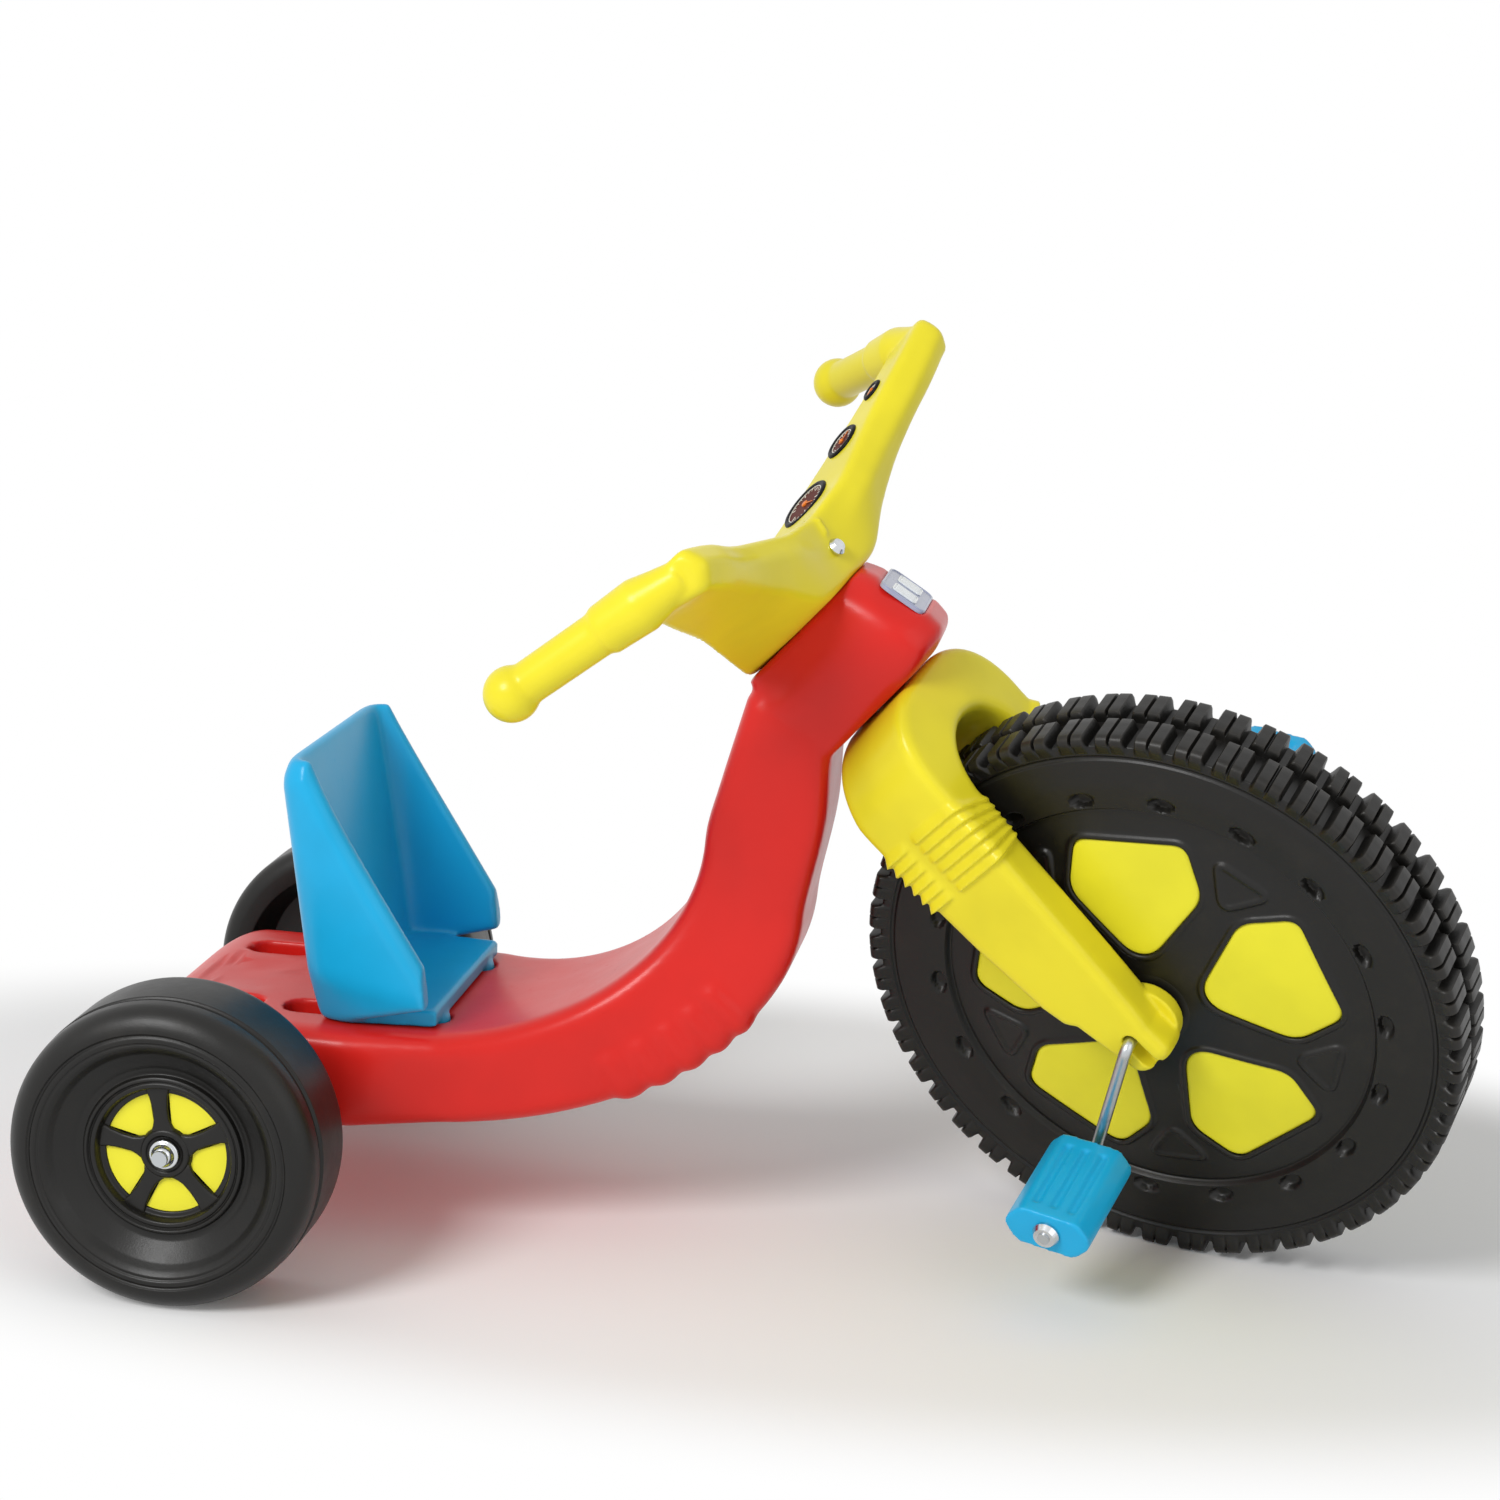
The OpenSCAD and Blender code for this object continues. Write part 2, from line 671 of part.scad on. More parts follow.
module axle_bush(side) {
    color(black) steered() rotate([side * -90, 0, 0]) rotate_extrude() polygon([
        [rod_r + fit, hub_w / 2 + gap], [end_boss_r - 6, hub_w / 2 + gap], [end_boss_r - 6, end_face],
        [axle_bush_r - fit, end_face], [axle_bush_r - fit, end_face + axle_bush_l - gap],
        [rod_r + fit, end_face + axle_bush_l - gap]]);
}

module steering_stem() {
    color(steel) steered() difference() {
        translate([0, 0, stem_low]) cylinder(r = stem_r, h = stem_top - stem_low);
        translate([-stem_d, 0, bolt_s]) rotate([0, 90, 0])
            cylinder(r = bolt_d / 2 + fit, h = 2 * stem_d);
    }
}

// A bush in the steering head, drawn with its flange on the side of smaller z
module head_bush(z, up) {
    color(black) on_head() translate([0, 0, z]) mirror([0, 0, up]) rotate_extrude() polygon([
        [stem_r + fit, -flange_t], [flange_r, -flange_t], [flange_r, 0], [bush_r, 0],
        [bush_r, bush_l], [stem_r + fit, bush_l]]);
}

// Share of its way that a corner has gone at share f of the distance, moving early when e is large
function eased(f, e) = 1 - pow(1 - f, e);

// Share of the way to the elbow at a place to the side, for a corner that starts out at a distance
function bar_share(n, from) = min(1, max(0, abs(n) - from) / (bar_side - from));

// Corner i of the handlebar's section at a place to the side, as distance forward, side and height
function bar_corner(i, n) =
    let (forward = bar_share(n, i < 3 ? bar_flat : 0),
        up = bar_share(n, i < 2 ? bar_flat : 0),
        mid = bar_mid[i],
        way = bar_elbow[i] + [bar_mid[0][0] + bar_sweep, bar_rise] - mid)
    [mid[0] + way[0] * eased(forward, bar_ease[i][0]),
        n,
        bar_s + mid[1] + way[1] * eased(up, bar_ease[i][1])];

// One ring of the handlebar, drawn in by d beyond the elbows
function bar_ring(n, d) =
    rounded(drawn_in([for (i = [0 : len(bar_mid) - 1]) bar_corner(i, n)], d), bar_round, 2);

// Middle of the handlebar's upper face at a place to the side
function bar_upper(n) = (bar_corner(2, n) + bar_corner(3, n)) / 2;

// Places a dial's pieces on the handlebar's upper face, with z out of the face
module on_dial(n) {
    across = bar_corner(2, n) - bar_corner(3, n);
    along = bar_upper(n + 1) - bar_upper(n - 1);
    out = unit(cross(across, along));
    translate(bar_upper(n)) rotate([0, acos(out[2]), atan2(out[1], out[0])]) children();
}

// Places a grip's pieces, drawn with z from the elbow to the ball
module on_grip(side) {
    mirror([0, side < 0 ? 1 : 0, 0]) translate(bar_corner(0, bar_side) + grip_start)
        rotate([0, 90 - grip_tilt, grip_turn]) children();
}

module handlebar() {
    // Rings that close an elbow: share of the cap's length left, and how far the ring is drawn in
    caps = [[1, 6.5], [0.65, 3], [0.2, 0]];
    half = concat([for (c = caps) [bar_side + bar_cap * c[0], c[1]]],
        [for (f = bar_steps) [f * bar_side, 0]], [[bar_flat, 0]]);
    color(yellow) steered() difference() {
        union() {
            loft(concat([for (h = half) bar_ring(h[0], h[1])], [bar_ring(0, 0)],
                [for (i = [len(half) - 1 : -1 : 0]) bar_ring(-half[i][0], half[i][1])]));
            for (side = [-1, 1]) on_grip(side) rotate_extrude() polygon(concat(
                [[0, -grip_root], [collar_d / 2, -grip_root], [collar_d / 2, collar_l - collar_edge],
                    [collar_d / 2 - collar_edge, collar_l], [grip_d / 2, collar_l]],
                [for (i = [0 : ball_steps])
                    [0, grip_l] + polar(ball_d / 2, ball_from + (90 - ball_from) * i / ball_steps)]));
        }
        translate([0, 0, bar_s - 1]) cylinder(r = stem_r + fit, h = stem_top - bar_s + 1 + gap);
        translate([-bolt_reach, 0, bolt_s]) rotate([0, 90, 0])
            cylinder(r = bolt_d / 2 + fit, h = 2 * bolt_reach);
        translate([bolt_seat, 0, bolt_s]) rotate([0, 90, 0]) cylinder(r = bolt_sink_r, h = bolt_reach);
        translate([nut_seat, 0, bolt_s]) rotate([0, -90, 0]) cylinder(r = bolt_sink_r, h = bolt_reach);
        for (side = [-1, 1]) for (i = [0 : len(dial_at) - 1]) on_dial(side * dial_at[i])
            translate([0, 0, -dial_sink]) cylinder(r = dial_d[i] / 2 + gap, h = dial_d[i]);
    }
}

module handlebar_bolt() {
    color(steel) steered() translate([bolt_seat, 0, bolt_s]) rotate([0, 90, 0]) union() {
        rotate_extrude() polygon([[0, 0], [bolt_d, 0], [bolt_d, bolt_head_h / 3],
            [bolt_d * 0.7, bolt_head_h], [0, bolt_head_h]]);
        translate([0, 0, nut_seat - bolt_seat - bolt_end])
            cylinder(r = bolt_d / 2, h = bolt_seat - nut_seat + bolt_end + bolt_head_h / 3);
    }
}

module handlebar_nut() {
    color(steel) steered() translate([nut_seat, 0, bolt_s]) rotate([0, -90, 0]) difference() {
        cylinder(r = bolt_d, h = bolt_d * nut_share, $fn = 6);
        translate([0, 0, -1]) cylinder(r = bolt_d / 2 + fit, h = bolt_d + 2);
    }
}

module gauge_dials(side) {
    face = dial_t - dial_lip;
    color(black) steered() for (i = [0 : len(dial_at) - 1]) let (r = dial_d[i] / 2)
        on_dial(side * dial_at[i]) translate([0, 0, -dial_sink]) rotate_extrude() polygon([
            [0, 0], [r, 0], [r, face], [r - dial_lip, dial_t], [r - dial_lip - dial_rim, dial_t],
            [r - 2 * dial_lip - dial_rim, face], [0, face]]);
}

// One ring of the frame from its lower and upper mid points and half widths, with a ridge on
// each side
function frame_ring(low, high, w_low, w_high, r, ridge = 0) =
    let (mid = low + ridge_share * (high - low), w = w_low + ridge_share * (w_high - w_low) + ridge)
    rounded([low - [0, w_low, 0], low + [0, w_low, 0], mid + [0, w, 0],
        high + [0, w_high, 0], high - [0, w_high, 0], mid - [0, w, 0]], r, 3);

// One ring of the steering head, with its front corners cut
function head_ring(h) =
    let (cut = head_bottom + h[0] + (h[1] - h[0]) * head_cut / (h[2] + h[3]))
    rounded([[-h[2], -h[4], head_bottom + h[1]], [h[3] - head_cut, -h[4], cut],
        [h[3], head_cut - h[4], head_bottom + h[0]], [h[3], h[4] - head_cut, head_bottom + h[0]],
        [h[3] - head_cut, h[4], cut], [-h[2], h[4], head_bottom + h[1]]], head_round, 2);

// A place on the neck's mid plane, hung from the steering head
function neck_point(p) = head_point(p[0], 0, head_bottom + p[1]);

// Rings of the deck from its rounded rear end forward
function deck_rings() = concat(
    [for (a = [90 : -22.5 : 0])
        let (e = 1 - cos(a),
            x = deck_end_r * (1 - sin(a)) - deck_back,
            w = deck_side - deck_end_w * e)
        frame_ring([x, 0, deck_low + 4 + 16 * e], [x, 0, deck_z - 24 * e], w - deck_in, w, deck_round)],
    [for (x = [0, deck_front * 0.57])
        frame_ring([x, 0, deck_low], [x, 0, deck_z], deck_side - deck_in, deck_side, deck_round)]);

// Rings of the bend from the deck's front to the foot of the neck, a quarter of an ellipse
function bend_point(from, to, a) =
    [from[0] + (to[0] - from[0]) * sin(a), 0, from[2] + (to[2] - from[2]) * (1 - cos(a))];

function bend_ring(a) =
    let (low = bend_point([deck_front, 0, deck_low + 6], neck_point(neck_at[0][0]), a),
        high = bend_point([deck_front, 0, deck_z], neck_point(neck_at[0][1]), a),
        turn = (a - flute_from) / (flute_to - flute_from),
        flute = turn < 0 || turn > 1 ? 0 : flute_h * (1 - cos(turn * 360 * flute_n)) / 2,
        w_low = deck_side - 17 + (neck_side - deck_side + 17) * sin(a),
        w_high = deck_side - 7 + (neck_side - 1 - deck_side + 7) * sin(a))
    frame_ring(low + unit(low - high) * flute, high, w_low + flute, w_high,
        deck_round + (neck_round - deck_round) * sin(a), neck_ridge * pow(sin(a), 4));

module frame_body() {
    flutes = [for (i = [0 : 4 * flute_n]) flute_from + i * (flute_to - flute_from) / (4 * flute_n)];
    neck = [for (i = [0 : 2]) frame_ring(neck_point(neck_at[i + 1][0]), neck_point(neck_at[i + 1][1]),
        neck_side - neck_in[i][0], neck_side - neck_in[i][1], neck_round, neck_ridge)];
    color(red) difference() {
        union() {
            loft(concat(deck_rings(),
                [for (a = concat([0, 12, 22], flutes, [70, 78, 90])) bend_ring(a)], neck));
            on_head() loft([for (h = head_rings) head_ring(h)]);
            for (side = [-1, 1]) on_axle(side) translate([0, 0, boss_face - 2 * boss_r])
                cylinder(r = boss_r, h = 2 * boss_r);
        }
        on_axle(-1) translate([0, 0, -2 * deck_side]) cylinder(r = axle_r + fit, h = 4 * deck_side);
        on_head() translate([0, 0, head_bottom - head_h]) cylinder(r = bush_r + fit, h = 3 * head_h);
        for (i = [0 : pocket_rows - 1]) for (side = [-1, 1])
            translate([pocket_x - i * pocket_step, side * pocket_y, deck_z - pocket_h])
                slot(pocket_l, pocket_w, 2 * pocket_h);
        on_light() translate([0, 0, -light_sink]) linear_extrude(light_h) polygon(light_shape(gap));
        translate([0, 0, deck_z - tray_h]) linear_extrude(pocket_h) polygon(rounded([
            [-2 * deck_back, -tray_y], [tray_x, -tray_y], [tray_x, tray_y], [-2 * deck_back, tray_y]],
            tray_round, 6));
    }
}

// Rounded outline of the headlight panel
function light_shape(grow) = let (x = light_h / 2 + grow, y = light_w / 2 + grow)
    rounded([[-x, -y], [x, -y], [x, y], [-x, y]], light_round, 3);

// Places the headlight panel on the front facet of the steering head, with z out of the facet
module on_light() {
    on_head() translate([light_t0, 0, light_s0]) rotate([0, 90 - light_tilt, 0]) children();
}

module headlight_panel() {
    color("#dfe3e6") on_light() translate([0, 0, -light_sink])
        linear_extrude(light_t) polygon(light_shape(0));
}

// Plan of the seat's wall at angle a, from the right tip round the back to the left tip
function seat_plan(a) =
    [tip_x - seat_l * pow(sin(a), seat_square[0]),
        -seat_w / 2 * sign(cos(a)) * pow(abs(cos(a)), seat_square[1])];

// Direction out of the seat's wall in plan
function seat_out(a) =
    let (d = unit(seat_plan(min(a + 3, 180)) - seat_plan(max(a - 3, 0)))) [-d[1], d[0]];

// A height of the seat's wall that goes from its value at the tips to its value at the back
function seat_height(a, tip, back) =
    tip + (back - tip) * min(1, (tip_x - seat_plan(a)[0]) / seat_l / wing_share);

// A point of the seat's wall: angle, distance in from the outer plan, height over the seat's base
function seat_point(a, d, h) =
    let (p = seat_plan(a) - seat_out(a) * d,
        share = tip_lean + (1 - tip_lean) * (tip_x - seat_plan(a)[0]) / seat_l)
    [p[0] - share * (seat_lean[0] - seat_lean[1] * h) * h, p[1], seat_z + h];

// One upright section of the seat's wall, with a facet line low on its outer face; its foot rises
// towards the tips
function seat_ring(a) =
    let (h = seat_height(a, tip_h, back_h),
        foot = seat_height(a, tip_rise, 0),
        k = seat_height(a, tip_facet, facet_h),
        d = seat_height(a, 2, facet_in))
    rounded([seat_point(a, seat_t, foot), seat_point(a, d, foot), seat_point(a, 0, k),
        seat_point(a, 0, max(k + 4, h - top_round[1])), seat_point(a, top_round[0], h),
        seat_point(a, seat_t - 2, h)], seat_round, 2);

module seat() {
    color(blue) union() {
        loft([for (a = [0 : 9 : 180]) seat_ring(a)]);
        translate([0, 0, seat_z]) linear_extrude(pan_t)
            polygon(concat([[tip_x, -pan_side]],
                [for (a = [36 : 9 : 144]) seat_plan(a) - seat_out(a) * (seat_t - 3)],
                [[tip_x, pan_side]]));
        for (side = [-1, 1]) translate([pocket_x, side * pocket_y, seat_z - gap - peg_h])
            slot(pocket_l - 2 * peg_gap, pocket_w - 2 * peg_gap, peg_h + gap + 2);
    }
}

frame_body();
headlight_panel();
head_bush(head_top, 1);  // head_bush_upper
head_bush(head_bottom, 0);  // head_bush_lower
rear_axle();
axle_spacer(1);  // axle_spacer_left
axle_spacer(-1);  // axle_spacer_right
axle_nut(1);  // axle_nut_left
axle_nut(-1);  // axle_nut_right
seat();
fork();
steering_stem();
handlebar();
handlebar_bolt();
handlebar_nut();
gauge_dials(1);  // gauge_dials_left
gauge_dials(-1);  // gauge_dials_right
axle_bush(1);  // axle_bush_left
axle_bush(-1);  // axle_bush_right
front_wheel();
window_panels(1);  // window_panels_left
window_panels(-1);  // window_panels_right
crank_rod();
pedal(1);  // pedal_left
pedal(-1);  // pedal_right
pedal_nut(1);  // pedal_nut_left
pedal_nut(-1);  // pedal_nut_right
rear_wheel(1);  // rear_wheel_left
rear_wheel(-1);  // rear_wheel_right
hub_panels(1);  // hub_panels_left
hub_panels(-1);  // hub_panels_right
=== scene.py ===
import json
from math import acos, asin, atan2, copysign, cos, degrees, pi, radians, sin
import bmesh
import bpy
import numpy as np
from mathutils import Matrix, Vector


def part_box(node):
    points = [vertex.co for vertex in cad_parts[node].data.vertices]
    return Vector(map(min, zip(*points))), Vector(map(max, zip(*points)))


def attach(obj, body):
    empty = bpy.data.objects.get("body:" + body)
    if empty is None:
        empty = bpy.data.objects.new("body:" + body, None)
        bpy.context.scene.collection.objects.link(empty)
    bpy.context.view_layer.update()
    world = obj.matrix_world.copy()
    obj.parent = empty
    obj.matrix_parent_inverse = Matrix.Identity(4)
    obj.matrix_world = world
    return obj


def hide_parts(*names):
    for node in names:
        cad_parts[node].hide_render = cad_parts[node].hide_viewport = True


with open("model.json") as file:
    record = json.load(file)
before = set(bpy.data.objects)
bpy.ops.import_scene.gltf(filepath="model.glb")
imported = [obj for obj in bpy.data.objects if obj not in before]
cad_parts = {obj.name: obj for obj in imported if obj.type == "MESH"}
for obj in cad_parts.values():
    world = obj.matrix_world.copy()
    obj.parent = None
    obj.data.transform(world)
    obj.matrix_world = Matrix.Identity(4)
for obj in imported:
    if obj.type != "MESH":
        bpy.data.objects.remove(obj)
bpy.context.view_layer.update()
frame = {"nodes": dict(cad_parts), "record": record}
nodes = frame["nodes"]
print("frame loaded:", len(nodes), "nodes")


def newObject(name, data):
    thing = bpy.data.objects.new(name, data)
    bpy.context.scene.collection.objects.link(thing)
    return thing


view = {
    "azimuth": 8.53, "elevation": 13.06, "roll": 2.49, "distance": 1.898,
    "target": (0.32465, 0.0, 0.33539), "lens": 68.63, "sensor": 36.0,
}


def placeCamera():
    azimuth, elevation, roll = (radians(view[k]) for k in ("azimuth", "elevation", "roll"))
    back = Vector((sin(azimuth) * cos(elevation), -cos(azimuth) * cos(elevation), sin(elevation)))
    right = Vector((cos(azimuth), sin(azimuth), 0))
    up = back.cross(right)
    tiltedRight = right * cos(roll) + up * sin(roll)
    tiltedUp = up * cos(roll) - right * sin(roll)
    lens = bpy.data.cameras.new("camera")
    lens.lens, lens.sensor_width = view["lens"], view["sensor"]
    lens.dof.use_dof = False
    camera = newObject("camera", lens)
    turn = Matrix((tiltedRight, tiltedUp, back)).transposed().to_4x4()
    camera.matrix_world = Matrix.Translation(Vector(view["target"]) + back * view["distance"]) @ turn
    bpy.context.scene.camera = camera


placeCamera()
print("camera placed")


class Wire:
    # a shader socket that takes part in Python expressions
    def __init__(self, tree, socket=None):
        self.tree, self.socket = tree, socket

    def add(self, kind, settings=None, links=None, out=0):
        node = self.tree.nodes.new(kind)
        for name, value in (settings or {}).items():
            setattr(node, name, value)
        for name, value in (links or {}).items():
            if isinstance(value, Wire):
                self.tree.links.new(value.socket, node.inputs[name])
            else:
                node.inputs[name].default_value = value
        return Wire(self.tree, node.outputs[out])

    def math(self, operation, a, b):
        return self.add("ShaderNodeMath", {"operation": operation}, {0: a, 1: b})

    def __add__(self, other): return self.math("ADD", self, other)
    def __radd__(self, other): return self.math("ADD", other, self)
    def __mul__(self, other): return self.math("MULTIPLY", self, other)
    def __rmul__(self, other): return self.math("MULTIPLY", other, self)

    def limited(self):
        return self.add("ShaderNodeClamp", {}, {0: self})

    def step(self, low, high):
        return self.add("ShaderNodeMapRange", {"interpolation_type": "SMOOTHSTEP"},
                        {0: self, 1: low, 2: high})

    def noise(self, scale, detail, rough=0.5):
        return self.add("ShaderNodeTexNoise", {}, {"Vector": self.place, "Scale": scale, "Detail": detail,
                                                   "Roughness": rough})

    def pointed(self, low, high):  # 1 along the outer edges
        return self.add("ShaderNodeNewGeometry", out="Pointiness").step(low, high)

    def mixed(self, a, b):  # this wire's value goes from colour a to colour b
        return self.add("ShaderNodeMix", {"data_type": "RGBA"}, {0: self, 6: a, 7: b}, 2)


def shader(name, base, rough, metal=0.0, coat=0.0, bump=None, bumpDepth=0.0, constants=None):
    # base, rough, coat and bump take a number, a colour or a function of the material's Wire
    material = bpy.data.materials.new(name)
    material.use_nodes = True
    tree = material.node_tree
    main = tree.nodes["Principled BSDF"]
    wire = Wire(tree)
    wire.place = wire.add("ShaderNodeTexCoord", out="Object")
    inputs = {"Base Color": base, "Roughness": rough, "Metallic": metal, "Coat Weight": coat}
    for socket, value in inputs.items():
        made = value(wire) if callable(value) else value
        if isinstance(made, Wire):
            tree.links.new(made.socket, main.inputs[socket])
        else:
            main.inputs[socket].default_value = made
    for socket, value in (constants or {}).items():
        main.inputs[socket].default_value = value
    if bump:
        rise = wire.add("ShaderNodeBump", {}, {"Strength": 1.0, "Distance": bumpDepth, "Height": bump(wire)})
        tree.links.new(rise.socket, main.inputs["Normal"])
    return material


def linear(code):  # the shader's colour for a hex colour
    parts = [int(code[i:i + 2], 16) / 255 for i in (1, 3, 5)]
    return [*(p / 12.92 if p <= 0.04045 else ((p + 0.055) / 1.055) ** 2.4 for p in parts), 1.0]


mouldedLook = {
    "flow": 14.0, "flowStep": (0.35, 0.72), "flowShare": 0.5, "deep": 0.82, "pale": (1.04, 0.012),
    "edgeStep": (0.515, 0.56), "edgeShare": 0.6, "blotch": 35.0, "shift": 0.12,
    "rub": 160.0, "rubStep": (0.58, 0.75), "scuff": 0.10, "grain": 1400.0, "ripple": 60.0,
    "rippleShare": 3.0, "grainDepth": 0.00002, "coatRough": 0.16,
}


def mouldedPlastic(name, code, rough=0.32, coat=0.08, shine=0.26):
    f, colour = mouldedLook, linear(code)
    deep = [c * f["deep"] for c in colour[:3]] + [1.0]
    pale = [min(1.0, c * f["pale"][0] + f["pale"][1]) for c in colour[:3]] + [1.0]

    def base(w):
        flow = w.noise(f["flow"], 3.0).step(*f["flowStep"])
        edge = w.pointed(*f["edgeStep"])
        return (edge * f["edgeShare"]).mixed((flow * f["flowShare"]).mixed(colour, deep), pale)

    def roughness(w):
        rub = w.noise(f["rub"], 5.0, 0.7).step(*f["rubStep"])
        blotch = w.noise(f["blotch"], 4.0) * f["shift"]
        return blotch + rub * f["scuff"] + (rough - f["shift"] * 0.5)

    def height(w):
        return w.noise(f["grain"], 2.0) + w.noise(f["ripple"], 1.0) * f["rippleShare"]

    return shader(name, base, roughness, 0.0, coat, height, f["grainDepth"],
                  {"Coat Roughness": f["coatRough"], "Specular IOR Level": shine})


blackLook = {
    "base": "#131210", "dust": "#463f35", "film": 26.0, "filmStep": (0.48, 0.8), "filmShare": 0.12,
    "edgeStep": (0.52, 0.6), "edgeShare": 0.2, "rough": 0.26, "roughSpread": 0.26, "grain": 900.0,
    "ripple": 120.0, "rippleShare": 2.0, "grainDepth": 0.00006, "shine": 0.36,
}


def wheelBlack(name):
    f = blackLook

    def film(w):
        return w.noise(f["film"], 5.0, 0.65)

    def base(w):
        dusty = film(w).step(*f["filmStep"]) * f["filmShare"]
        worn = w.pointed(*f["edgeStep"]) * f["edgeShare"]
        return (dusty + worn).limited().mixed(linear(f["base"]), linear(f["dust"]))

    def roughness(w):
        return film(w) * f["roughSpread"] + f["rough"]

    def height(w):
        return w.noise(f["grain"], 3.0) + w.noise(f["ripple"], 2.0) * f["rippleShare"]

    return shader(name, base, roughness, 0.0, 0.0, height, f["grainDepth"],
                  {"Specular IOR Level": f["shine"]})


steelLook = {
    "dull": 0.6, "dullStep": (0.5, 0.8), "roughSpread": 0.25, "roughDrop": 0.12, "grainDepth": 0.00002,
}


def platedSteel(name, code, rough, scale):
    f, colour = steelLook, linear(code)
    dull = [c * f["dull"] for c in colour[:3]] + [1.0]

    def base(w):
        return w.noise(scale, 5.0, 0.7).step(*f["dullStep"]).mixed(colour, dull)

    def roughness(w):
        return w.noise(scale * 3.0, 4.0, 0.6) * f["roughSpread"] + (rough - f["roughDrop"])

    def height(w):
        return w.noise(scale * 20.0, 2.0)

    return shader(name, base, roughness, 1.0, 0.0, height, f["grainDepth"])


finishes = {
    "red_plastic": mouldedPlastic("redMoulding", "#dd241d"),
    "blue_plastic": mouldedPlastic("blueMoulding", "#1ab0e6"),
    "yellow_plastic": mouldedPlastic("yellowMoulding", "#f1e22c"),
    "yellow_panel": mouldedPlastic("yellowSheet", "#eee62e", 0.36, 0.1),
    "black_plastic": wheelBlack("wheelBlack"),
    "dial": mouldedPlastic("dialBlack", "#131214", 0.4, 0.0, 0.1),
    "headlight": mouldedPlastic("lampFace", "#c9d2da", 0.2, 0.4),
    "bush": mouldedPlastic("bushBlack", "#201f1e", 0.45, 0.0),
    "steel": platedSteel("zincRod", "#c3c7ca", 0.32, 40.0),
    "bright_steel": platedSteel("brightPlate", "#d4d7da", 0.2, 60.0),
}
for part in frame["record"]["subparts"]:
    owner = nodes[part["node"]]
    owner.data.materials.clear()
    owner.data.materials.append(finishes[part["material_slot"]])
print("finishes given:", len(finishes))

# shapes in millimetres, in the frame's own axes
mm = 0.001
stance = {
    "wheelbase": 609.0, "rake": 48.9, "steer": -26.3, "wheelTurn": 98.8, "rearTurn": 97.0,
    "frontRadius": 203.0, "frontWidth": 61.0, "shoulder": 5.0, "rearRadius": 100.3,
}
leanAngle = asin(abs(sin(radians(stance["steer"]))) * sin(radians(stance["rake"])))
frontAxle = ((stance["frontRadius"] - stance["shoulder"]) * cos(leanAngle)
             + (stance["frontWidth"] / 2 - stance["shoulder"]) * sin(leanAngle) + stance["shoulder"])
headBottom, barFoot = 265.9, 336.8  # heights along the steering axis


def turned(axis, angle):
    return Matrix.Rotation(radians(angle), 4, axis)


headPlace = Matrix.Translation((stance["wheelbase"], 0, frontAxle)) @ turned("Y", -stance["rake"])
steerPlace = headPlace @ turned("Z", stance["steer"])
wheelPlace = steerPlace @ turned("X", 90) @ turned("Z", stance["wheelTurn"] - stance["rake"])
flipY = Matrix.Diagonal((1, -1, 1, 1))
flipZ = Matrix.Diagonal((1, 1, -1, 1))


def axlePlace(side):  # z runs outward from the mid plane
    flip = flipY if side > 0 else Matrix()
    return Matrix.Translation((0, 0, stance["rearRadius"])) @ flip @ turned("X", 90)


def moved(points, place):
    turn = np.array(place)
    return np.asarray(points, float) @ turn[:3, :3].T + turn[:3, 3]


def placed(shell, place):
    return moved(shell[0], place), shell[1]


def length(v):
    return float(np.linalg.norm(v))


def unit(v):
    return v / length(v)


def easeBetween(low, high, x):
    f = np.clip((np.asarray(x, float) - low) / (high - low), 0, 1)
    return f * f * (3 - 2 * f)


def curvedCorner(p, q, s, r, n):
    a = q + unit(p - q) * min(r, 0.48 * length(p - q))
    b = q + unit(s - q) * min(r, 0.48 * length(s - q))
    f = np.linspace(0, 1, n + 1)[:, None]
    return (1 - f) ** 2 * a + 2 * f * (1 - f) * q + f * f * b


def softRing(corners, r, n=6, edge=4):  # a closed outline with curved corners and points along its sides
    corners = [np.asarray(c, float) for c in corners]
    count = len(corners)
    curves = [curvedCorner(corners[i - 1], corners[i], corners[(i + 1) % count], r, n) for i in range(count)]
    ring = []
    for i in range(count):
        start, end = curves[i][-1], curves[(i + 1) % count][0]
        ring += list(curves[i]) + [start + (end - start) * k / edge for k in range(1, edge)]
    return np.array(ring)


def flatRing(corners, r, n=6, edge=2):
    return softRing(np.column_stack([corners, np.zeros(len(corners))]), r, n, edge)[:, :2]


def softLine(points, r, n=3):  # an open line with curved corners
    points = [np.asarray(p, float) for p in points]
    line = [points[0]]
    for before, here, after in zip(points, points[1:], points[2:]):
        line += list(curvedCorner(before, here, after, r, n))
    return np.array(line + [points[-1]])


def drawnIn(corners, d):
    corners = np.asarray(corners, float)
    middle = corners.mean(axis=0)
    return [p - unit(p - middle) * d for p in corners]


def box(x, y):
    return np.array([(-x, -y), (x, -y), (x, y), (-x, y)])


def polar(r, angle):
    return np.array([r * cos(radians(angle)), r * sin(radians(angle))])


def circle(r, steps):
    return np.array([polar(r, a) for a in np.linspace(0, 360, steps, endpoint=False)])


def slotOutline(l, w, steps=12):
    a = np.radians(np.linspace(-90, 90, steps))
    right = np.stack([(l - w) / 2 + w / 2 * np.cos(a), w / 2 * np.sin(a)], axis=1)
    return np.concatenate([right, -right])


def roundHole(across):
    return slotOutline(across + 0.01, across)


